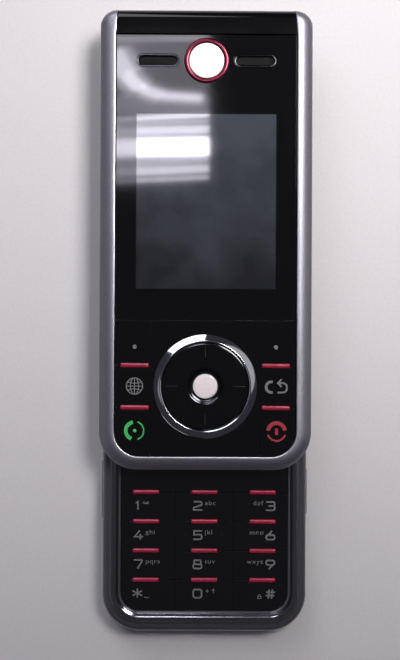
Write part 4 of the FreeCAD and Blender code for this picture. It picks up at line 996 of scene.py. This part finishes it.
# Strokes of each figure on a field 2.4 wide and 2.4 high.  Corners may carry a
# radius.  A stroke in square brackets is open, and one in round ones is closed.
FIGURES = {
    "1": ([(0.55, 1.75), (1.05, 2.2), (1.05, 0.2)],),
    "2": ([(0.2, 2.2), (2.2, 2.2, 0.45), (2.2, 1.4, 0.4), (0.22, 0.78, 0.25), (0.22, 0.2), (2.3, 0.2)],),
    "3": ([(0.2, 2.2), (2.2, 2.2, 0.4), (2.2, 1.25, 0.35), (0.7, 1.25)],
          [(1.2, 1.25), (2.2, 1.25, 0.35), (2.2, 0.2, 0.45), (0.1, 0.2)]),
    "4": ([(1.5, 2.25), (0.3, 0.75), (2.35, 0.75)], [(1.65, 1.45), (1.65, 0.1)]),
    "5": ([(2.25, 2.2), (0.35, 2.2), (0.35, 1.3), (2.2, 1.3, 0.42), (2.2, 0.2, 0.42), (0.15, 0.2)],),
    "6": (box(0.2, 0.2, 2.2, 1.3, 0.45), [(1.6, 2.3), (0.35, 1.0)]),
    "7": ([(0.1, 2.2), (2.25, 2.2, 0.2), (1.0, 0.1)],),
    "8": (box(0.2, 0.2, 2.2, 1.22, 0.4), box(0.38, 1.22, 2.02, 2.2, 0.35)),
    "9": (box(0.2, 1.1, 2.2, 2.2, 0.45), [(2.05, 1.4), (0.8, 0.1)]),
    "0": (box(0.2, 0.2, 2.2, 2.2, 0.55),),
    "*": ([(1.0, 0.15), (1.0, 2.35)], [(-0.15, 0.65), (2.15, 1.85)], [(-0.15, 1.85), (2.15, 0.65)]),
    "#": ([(0.75, 0.1), (0.95, 2.3)], [(1.5, 0.1), (1.7, 2.3)],
          [(0.1, 0.8), (2.2, 0.8)], [(0.25, 1.6), (2.35, 1.6)]),
    "+": ([(0.4, 1.2), (2.0, 1.2)], [(1.2, 0.4), (1.2, 2.0)]),
    "up": ([(1.2, 0.1), (1.2, 2.2)], [(0.5, 1.5), (1.2, 2.25), (1.9, 1.5)]),
    "space": ([(0.2, 0.9), (0.3, 0.4, 0.2), (2.1, 0.4, 0.2), (2.2, 0.9)],),
    "tape": (box(0.1, 0.9, 1.1, 1.8, 0.4), box(1.9, 0.9, 2.9, 1.8, 0.4), [(0.6, 0.9), (2.4, 0.9)]),
    "lock": (box(0.5, 0.2, 2.0, 1.2), [(0.75, 1.2), (0.75, 2.1, 0.4), (1.75, 2.1, 0.4), (1.75, 1.2)]),
}


def printed(name, strokes, level, material, body):
    """Strokes of ink on a face at a level: each is (points, width, closed), and each lies a layer higher."""
    shapes = [stroke(points, width, level - INK_FOOT, level + INK + layer * INK_LAYER, closed)
              for layer, (points, width, closed) in strokes]
    return solid(name, joined(*shapes), material, body, ())


def figure(name, left, low, height, width):
    """One figure as numbered strokes at a size, its lower left corner given."""
    strokes = []
    for corners in FIGURES[name]:
        closed = isinstance(corners, tuple)
        points = outline(corners, 6) if closed else path(corners)
        strokes.append(([Vector((left, low)) + point * (height / FIELD) for point in points], width, closed))
    return list(enumerate(strokes))


def letters(name, words, edge, low, leftward):
    """Small printed letters as a thin mesh on the number keys' face, to the right or the left of an edge."""
    text = bpy.data.curves.new(name, "FONT")
    text.body = words
    text.size = LETTER_HEIGHT / CAPITAL_SHARE * MM
    text.extrude = (INK + INK_FOOT) / 2 * MM
    text.space_character = LETTER_SPACING
    mesh = evaluated(new_object(name, text), name)
    shift = -max(vert.co.x for vert in mesh.vertices) * LETTER_STRETCH if leftward else 0
    mesh.transform(Matrix.Translation((edge * MM + shift, low * MM, (KEY_FACE + (INK - INK_FOOT) / 2) * MM))
                   @ Matrix.Diagonal((LETTER_STRETCH, 1, 1, 1)))
    seated(mesh)
    return mesh


# Signs beside the figures: the sign, how far right of the figure's left edge
# it begins, and how far above its foot.
RAISED = FIELD - SIGN_HEIGHT
SIGNS = {"1": [("tape", 2.2, RAISED)], "*": [("space", 2.7, 0)], "0": [("+", 3.0, RAISED), ("up", 4.5, RAISED)],
         "#": [("lock", -2.0, 0)]}
starts = {}
for number, (key, (digit, words)) in enumerate(zip(NUMBER_KEYS, LEGENDS)):
    row, column = divmod(number, len(FIGURE_LEFTS))
    left = FIGURE_LEFTS[column]
    low = FIRST_ROW - row * ROW - LEGEND_DROP - FIELD / 2
    starts[digit] = (key, left, low)
    printed(key + "_figure", figure(digit, left, low, FIELD, DIGIT_STROKE), KEY_FACE, GREY_INK, key + "_press")
    if words:
        leftward = column == 2
        edge = left - LEGEND_GAP if leftward else left + FIELD + LEGEND_GAP
        text = letters(key + "_letters", words, edge, low + FIELD - LETTER_HEIGHT + LETTER_RISE, leftward)
        fitted(key + "_letters", text, GREY_INK, key + "_press", ())
for digit, signs in SIGNS.items():
    key, left, low = starts[digit]
    strokes = [line for sign, across, up in signs
               for line in figure(sign, left + across, low + up, SIGN_HEIGHT, SIGN_STROKE)]
    printed(key + "_signs", strokes, KEY_FACE, GREY_INK, key + "_press")

# Two raised dots flank the middle key, so that a thumb finds it unseen.
PIP_REACH = 4.3
PIP = [(0, -0.02), (0.28, -0.02), (0.26, 0.04), (0.2, 0.1), (0.1, 0.14), (0, 0.15)]
pips = [turned([(radius, KEY_FACE + level) for radius, level in PIP],
               (side * PIP_REACH, FIRST_ROW - ROW - LEGEND_DROP), 20) for side in (-1, 1)]
solid("key_5_pips", joined(*pips), BLACK_KEY, "key_5_press", ())

# ------------------------------------------------------- signs on the front

SOFT_DOT_Y = 14.2
CALL_Y = -5.5
GLOBE = 1.9


def front_sign(key, centre, strokes, material):
    """Strokes printed on a front key, with their points given from a centre."""
    moved = [([Vector(centre) + point for point in points], width, closed) for points, width, closed in strokes]
    printed(key + "_sign", list(enumerate(moved)), FACE, material, key + "_press")


def dot(key, centre, radius, material):
    """A printed dot."""
    profile = [(0, FACE - INK_FOOT), (radius, FACE - INK_FOOT), (radius, FACE + INK), (0, FACE + INK)]
    solid(key + "_dot", turned(profile, centre, 32), material, key + "_press", ())


dot("left_soft_key", (-ICON_X, SOFT_DOT_Y), 0.5, GREY_INK)
dot("right_soft_key", (ICON_X, SOFT_DOT_Y), 0.5, GREY_INK)
globe = [(circle((0, 0), GLOBE), 0.26, True), (path([(0, -GLOBE), (0, GLOBE)]), 0.2, False)]
for level, bow, half in ((0.66, 0.34, 1.6), (-0.66, -0.34, 1.6), (0.0, 0.0, 1.85)):
    globe.append(([Vector((half * step / 8, level + bow * (step / 8) ** 2)) for step in range(-8, 9)], 0.2, False))
globe.append(([Vector((0.95 * way.x, GLOBE * way.y)) for way in circle((0, 0), 1, 40)], 0.2, True))
front_sign("globe_key", (-ICON_X, NAV[1]), globe, GREY_INK)
front_sign("clear_key", (ICON_X, NAV[1]),
           [(arc((-1.05, -0.1), 1.25, 75, 285), 0.62, False),
            (path([(0.35, -1.35), (2.55, -1.35, 0.9), (2.55, 0.85, 0.9), (0.75, 0.85)], 10), 0.42, False),
            (path([(1.35, 1.75), (0.45, 0.85), (1.35, -0.05)]), 0.42, False)], GREY_INK)
front_sign("call_key", (-ICON_X, CALL_Y),
           [(arc((0, 0), 2.0, 100, 250), 0.85, False), (arc((0, 0), 2.2, -70, 70), 0.3, False)], GREEN_INK)
dot("call_key", (-ICON_X + 0.1, CALL_Y), 0.42, GREEN_INK)
front_sign("end_key", (ICON_X + 0.2, CALL_Y),
           [(arc((0, -0.1), 2.0, 8, 172), 0.9, False), (arc((0, -0.1), 2.15, 200, 340), 0.45, False),
            (path([(0, -0.85), (0, 0.65)]), 0.7, False)], RED_INK)

# ---------------------------------- shells, side keys and steel, edges rounded

for node, edge, material, body, slot in (
        ("base_rear_housing", 0.12, SOFT_TOUCH, "base", "shell_plastic"),
        ("battery_cover", 0.1, SOFT_TOUCH, "cover", "shell_plastic"),
        ("slider_back_cover", 0.05, SOFT_TOUCH, "slider", "shell_plastic"),
        ("volume_rocker", 0.12, GUNMETAL, "volume", "frame_metal"),
        ("camera_key", 0.12, GUNMETAL, "shutter", "frame_metal"),
        ("slide_plate", 0.05, STEEL, "slider", "steel"),
        ("rail_plate", 0.05, STEEL, "base", "steel"),
        ("usb_socket", 0.06, STEEL, "base", "steel"),
        ("slide_springs", 0.08, SPRING_STEEL, "base", "spring_steel")):
    softened(node, edge, material, body)

# ------------------------------------------------------- the camera window

CAM_LOW, CAM_HIGH = corner_box("camera_window")
CAMERA = ((CAM_LOW.x + CAM_HIGH.x) / 2, (CAM_LOW.y + CAM_HIGH.y) / 2)
cam_radius = CAM_HIGH.x - CAMERA[0]
CAMERA_RIM = 1.0
glass_radius = cam_radius - CAMERA_RIM
glass_profile = [(0, CAM_HIGH.z), (glass_radius, CAM_HIGH.z), (glass_radius, CAM_LOW.z + 0.06),
                 (glass_radius - 0.1, CAM_LOW.z), (0, CAM_LOW.z)]
solid("camera_glass_disc", turned(glass_profile, CAMERA), CAMERA_GLASS, "base", ["camera_window"])
rim_profile = ([(cam_radius, CAM_HIGH.z)]
               + inward(cam_radius, CAM_LOW.z, [(0, 0.2), (0.08, 0.06), (0.3, 0), (0.75, 0.02), (0.95, 0.2)])
               + [(cam_radius - 0.97, CAM_HIGH.z)])
solid("camera_glass_bezel", turned(rim_profile, CAMERA), CHROME, "base", ())


# -------------------------------------------------------- screws and cloth

# A screw's thread pitch, the share of its shank that is left between threads,
# and how narrow the wings of its cross are for their reach.
PITCH = 0.24
ROOT_SHARE = 0.85
WING_SHARE = 0.3


def screw_shape(head, height, shank, length, recess, head_up=False):
    """A flat-headed screw with a cross recess and rolled threads, its head's face at nought."""
    wing = recess * WING_SHARE
    corners = [Matrix.Rotation(math.radians(90 * quarter), 2) @ Vector(spot)
               for quarter in range(4) for spot in ((wing, -wing), (recess, -wing), (recess, wing))]
    cross = []
    for here, after in zip(corners, corners[1:] + corners[:1]):
        cross += [here, (here + after) / 2]
    root = shank * ROOT_SHARE
    tip = height + length
    profile = [(shank * 0.6, tip), (root, tip - 0.15)]
    level = tip - 0.3
    while level > height + 0.2:
        profile += [(shank, level), (root, level - PITCH / 2)]
        level -= PITCH
    profile += [(root, height), (head, height), (head, 0.1), (head - 0.06, 0.02), (head - 0.14, 0)]
    rings = [[(*(spot.normalized() * radius), level) for spot in cross] for radius, level in profile]
    rings += [[(*(spot * share), level) for spot in cross] for share, level in ((1, 0), (0.75, min(0.3, height)))]
    if head_up:
        rings = [[(x, -y, -z) for x, y, z in ring] for ring in rings]
    return loft(rings, False)


# Name, shape, places on the right side, body, nodes and turn of each kind.
for name, sizes, spots, body, nodes, turn in (
        ("housing_screws", (1.2, 0.5, 0.65, 5.1, 0.62), ((21.9, -43.5, 1.3), (21.9, 44.5, 1.3)), "base",
         ["base_screws"], 0.4),
        ("deck_screws", (1.2, 0.3, 0.65, 1.6, 0.6, True), ((9.5, -7, 8.7), (9.5, 46.5, 8.7)), "base", (), 0.2),
        ("cover_screws", (1.2, 0.5, 0.65, 0.7, 0.62), ((21.5, -0.5, 9.2), (18, 86.5, 9.2)), "slider",
         ["slider_screws"], 0.9),
        ("ear_screws", (0.65, 0.3, 0.6, 1.2, 0.36), ((18.75, -4.5, 9.3), (18.75, 65.5, 9.3)), "slider", (), 0.6)):
    repeated(name, screw_shape(*sizes), [(side * x, y, z) for x, y, z in spots for side in (-1, 1)], SCREW_STEEL,
             body, nodes, turn)

# Woven cloth closes the ear openings.
WEAVE = 0.3
THREAD = (0.085, 0.04)
THREAD_LIFT = 0.03


def weave_shape():
    """Where two threads cross: one arched over the other."""
    threads = []
    for along, lift in ((Vector((1, 0)), THREAD_LIFT), (Vector((0, 1)), -THREAD_LIFT)):
        across = Vector((-along.y, along.x))
        rings = [[(*(along * (WEAVE * share) + across * (THREAD[0] * way.x)),
                   lift * math.cos(math.pi * share) + THREAD[1] * way.y) for way in circle((0, 0), 1, 6)]
                 for share in (-0.5, -0.25, 0.0, 0.25, 0.5)]
        threads.append(loft(rings, False))
    return joined(*threads)


def cloth_spots(centre, length, width):
    """Crossings that fill a slot with round ends."""
    rows, columns = (int(size / 2 / WEAVE) + 1 for size in (width, length))
    spots = [(column * WEAVE, row * WEAVE)
             for row in range(-rows, rows + 1) for column in range(-columns, columns + 1)]
    return [(centre[0] + across, centre[1] + along, ear_grille) for across, along in spots
            if math.hypot(max(abs(across) - (length - width) / 2, 0), along) < width / 2 + 0.1]


crossings = [spot for slot in SLOTS for spot in cloth_spots(slot, *SLOT_OPENING)]
repeated("earpiece_cloth", weave_shape(), crossings, CLOTH, "slider", ())

# --------------------------------------------------- finishes of the nodes

NODE_FINISHES = {
    "battery": BATTERY_WRAP, "main_board": BOARD, "keypad_board": BOARD, "front_key_board": BOARD,
    "sim_holder": STEEL, "loudspeaker": FILLED_RESIN, "vibration_motor": STEEL, "vibration_weight": TUNGSTEN,
    "camera_module": FILLED_RESIN, "rail_glide_pads": ACETAL, "flex_cable": CABLE_FILM,
    "lcd_panel": LENS_ACRYLIC, "lcd_chassis": STEEL, "earpiece_speaker": FILLED_RESIN, "nav_carrier": RUBBER,
}
for name, material in NODE_FINISHES.items():
    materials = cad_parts[name].data.materials
    materials.clear()
    materials.append(material)

# ---------------------------------------------------------------- the stage

# Pale desk laminate: a dull near white with a very faint mottle.
DESK = finish("pale_desk_laminate", "#E2DFE1", 0.55, {"Specular IOR Level": 0.3},
              mottled(0.7, (0.3, "#D7D4D6"), (0.7, "#DCD9DB"), 3.0))
DESK_REACH = 3000
DESK_LEVEL = -0.05
desk_corners = [(*corner, DESK_LEVEL) for corner in box(-DESK_REACH, -DESK_REACH, DESK_REACH, DESK_REACH)]
floor = new_object("floor", new_mesh("floor", desk_corners, [(0, 1, 2, 3)]))
floor.data.materials.append(DESK)

# A dim room overhead that grows paler toward the horizon.
world = bpy.data.worlds.new("studio")
bpy.context.scene.world = world
world.use_nodes = True
tree = world.node_tree
tree.nodes.clear()
look = add_node(tree, "ShaderNodeTexCoord").outputs["Generated"]
sky = ramp(tree, coordinate(tree, look, "Z"),
           [(0.0, "#6C6C70"), (0.1, "#3A3A3E"), (0.4, "#333338"), (0.8, "#333338"), (0.97, "#56565C")])
light = add_node(tree, "ShaderNodeBackground", {"Strength": 1.0}, {"Color": sky})
add_node(tree, "ShaderNodeOutputWorld", (), {"Surface": light.outputs["Background"]})


def softbox(name, centre, aim, width, length, level, tint="#FFFFFF", turn=0.0, beam=180.0):
    """A rectangular lamp turned to face an aim.

    Places and sizes are in millimetres, the beam's full angle is in degrees,
    and the level is the brightness seen along the aim.
    """
    lamp = bpy.data.lights.new(name, "AREA")
    lamp.shape = "RECTANGLE"
    lamp.size = width * MM
    lamp.size_y = length * MM
    half = math.radians(beam / 2)
    lamp.energy = level * math.pi * lamp.size * lamp.size_y * (1 - half / math.tan(half))
    lamp.color = linear(tint)[:3]
    lamp.spread = math.radians(beam)
    obj = new_object(name, lamp)
    obj.location = Vector(centre) * MM
    obj.rotation_euler = (Vector(aim) - Vector(centre)).to_track_quat("-Z", "Y").to_euler()
    obj.rotation_euler.rotate_axis("Z", math.radians(turn))


# The key light hangs to the upper right.  A tall window stands off to the upper
# left, with pale walls to the right and the left.
softbox("key", (180, 235, 500), (38, 136, 0), 230, 170, 36.5, "#FFFDFB", -43, 49)
softbox("tall_window", (-197, 455, 400), (-7, 5, 0), 404, 400, 2.6, "#FAFAFF")
softbox("right_wall", (520, 300, 300), (0, 5, 0), 900, 400, 0.4)
softbox("left_wall", (-560, -60, 260), (0, -20, 0), 700, 300, 0.25)

# A window with slats, high to the upper left, shows in the black plates: the
# near and the far edge of each slat, its level and its turn.
WINDOW_LEVEL = 700
WINDOW_SIDES = (-75, 8)
SLATS = ((136, 139.5, 6, 3), (141.5, 147.5, 8, 3), (148, 154, 4, 4), (155.5, 170, 22, 1.5), (172.5, 179, 10, 2),
         (180, 184.5, 5, 3), (185.5, 190, 12, 4), (191, 211, 5, 0), (213, 246, 3, 0), (246, 262, 3.8, 0),
         (264, 271, 10, 1))
# A bent gleam crosses the upper pane: its course, and the depth and the level
# of its wide faint part and of its narrow bright heart.
GLEAM_COURSE = (Vector((-68, 254)), Vector((-57, 230)), Vector((-45, 215)), Vector((-29, 208.5)), Vector((3, 206)))
GLEAM_PARTS = (((32, 5.5), (18, 10)), ((25, 5), (12, 16)), ((17, 5), (9, 16)), ((13, 5), (7, 15)))


def window_pane(name, middle, width, depth, level, turn, nearer=0.0):
    """One even stretch of the window.  A nearer pane covers those behind it."""
    softbox(name, (*middle, WINDOW_LEVEL - nearer), (*middle, 0), width, depth, level, "#F4F0FF", turn)


for number, (near, far, level, turn) in enumerate(SLATS):
    window_pane("slat_%d" % number, (sum(WINDOW_SIDES) / 2, (near + far) / 2), WINDOW_SIDES[1] - WINDOW_SIDES[0],
                far - near, level, turn)
for number, (start, end) in enumerate(zip(GLEAM_COURSE, GLEAM_COURSE[1:])):
    turn = math.degrees(math.atan2(end.y - start.y, end.x - start.x))
    for share, (depth, level) in enumerate(GLEAM_PARTS[number]):
        window_pane("gleam_%d_%d" % (number, share), (start + end) / 2, (end - start).length, depth, level, turn,
                    1 + number + len(GLEAM_PARTS) * share)

EYE = (-2.576, 16.528, 315.0)
EYE_TURNS = ((0.316, "X"), (-0.246, "Y"), (0.277, "Z"))
camera = bpy.data.cameras.new("camera")
camera.sensor_width = 36.0
camera.lens = 69.70
camera.clip_start = 0.01
camera.clip_end = 20.0
eye = new_object("camera", camera)
pose = Matrix.Translation(Vector(EYE) * MM)
for angle, axis in EYE_TURNS:
    pose = pose @ Matrix.Rotation(math.radians(angle), 4, axis)
eye.matrix_world = pose
bpy.context.scene.camera = eye
bpy.context.scene.view_settings.view_transform = "Standard"
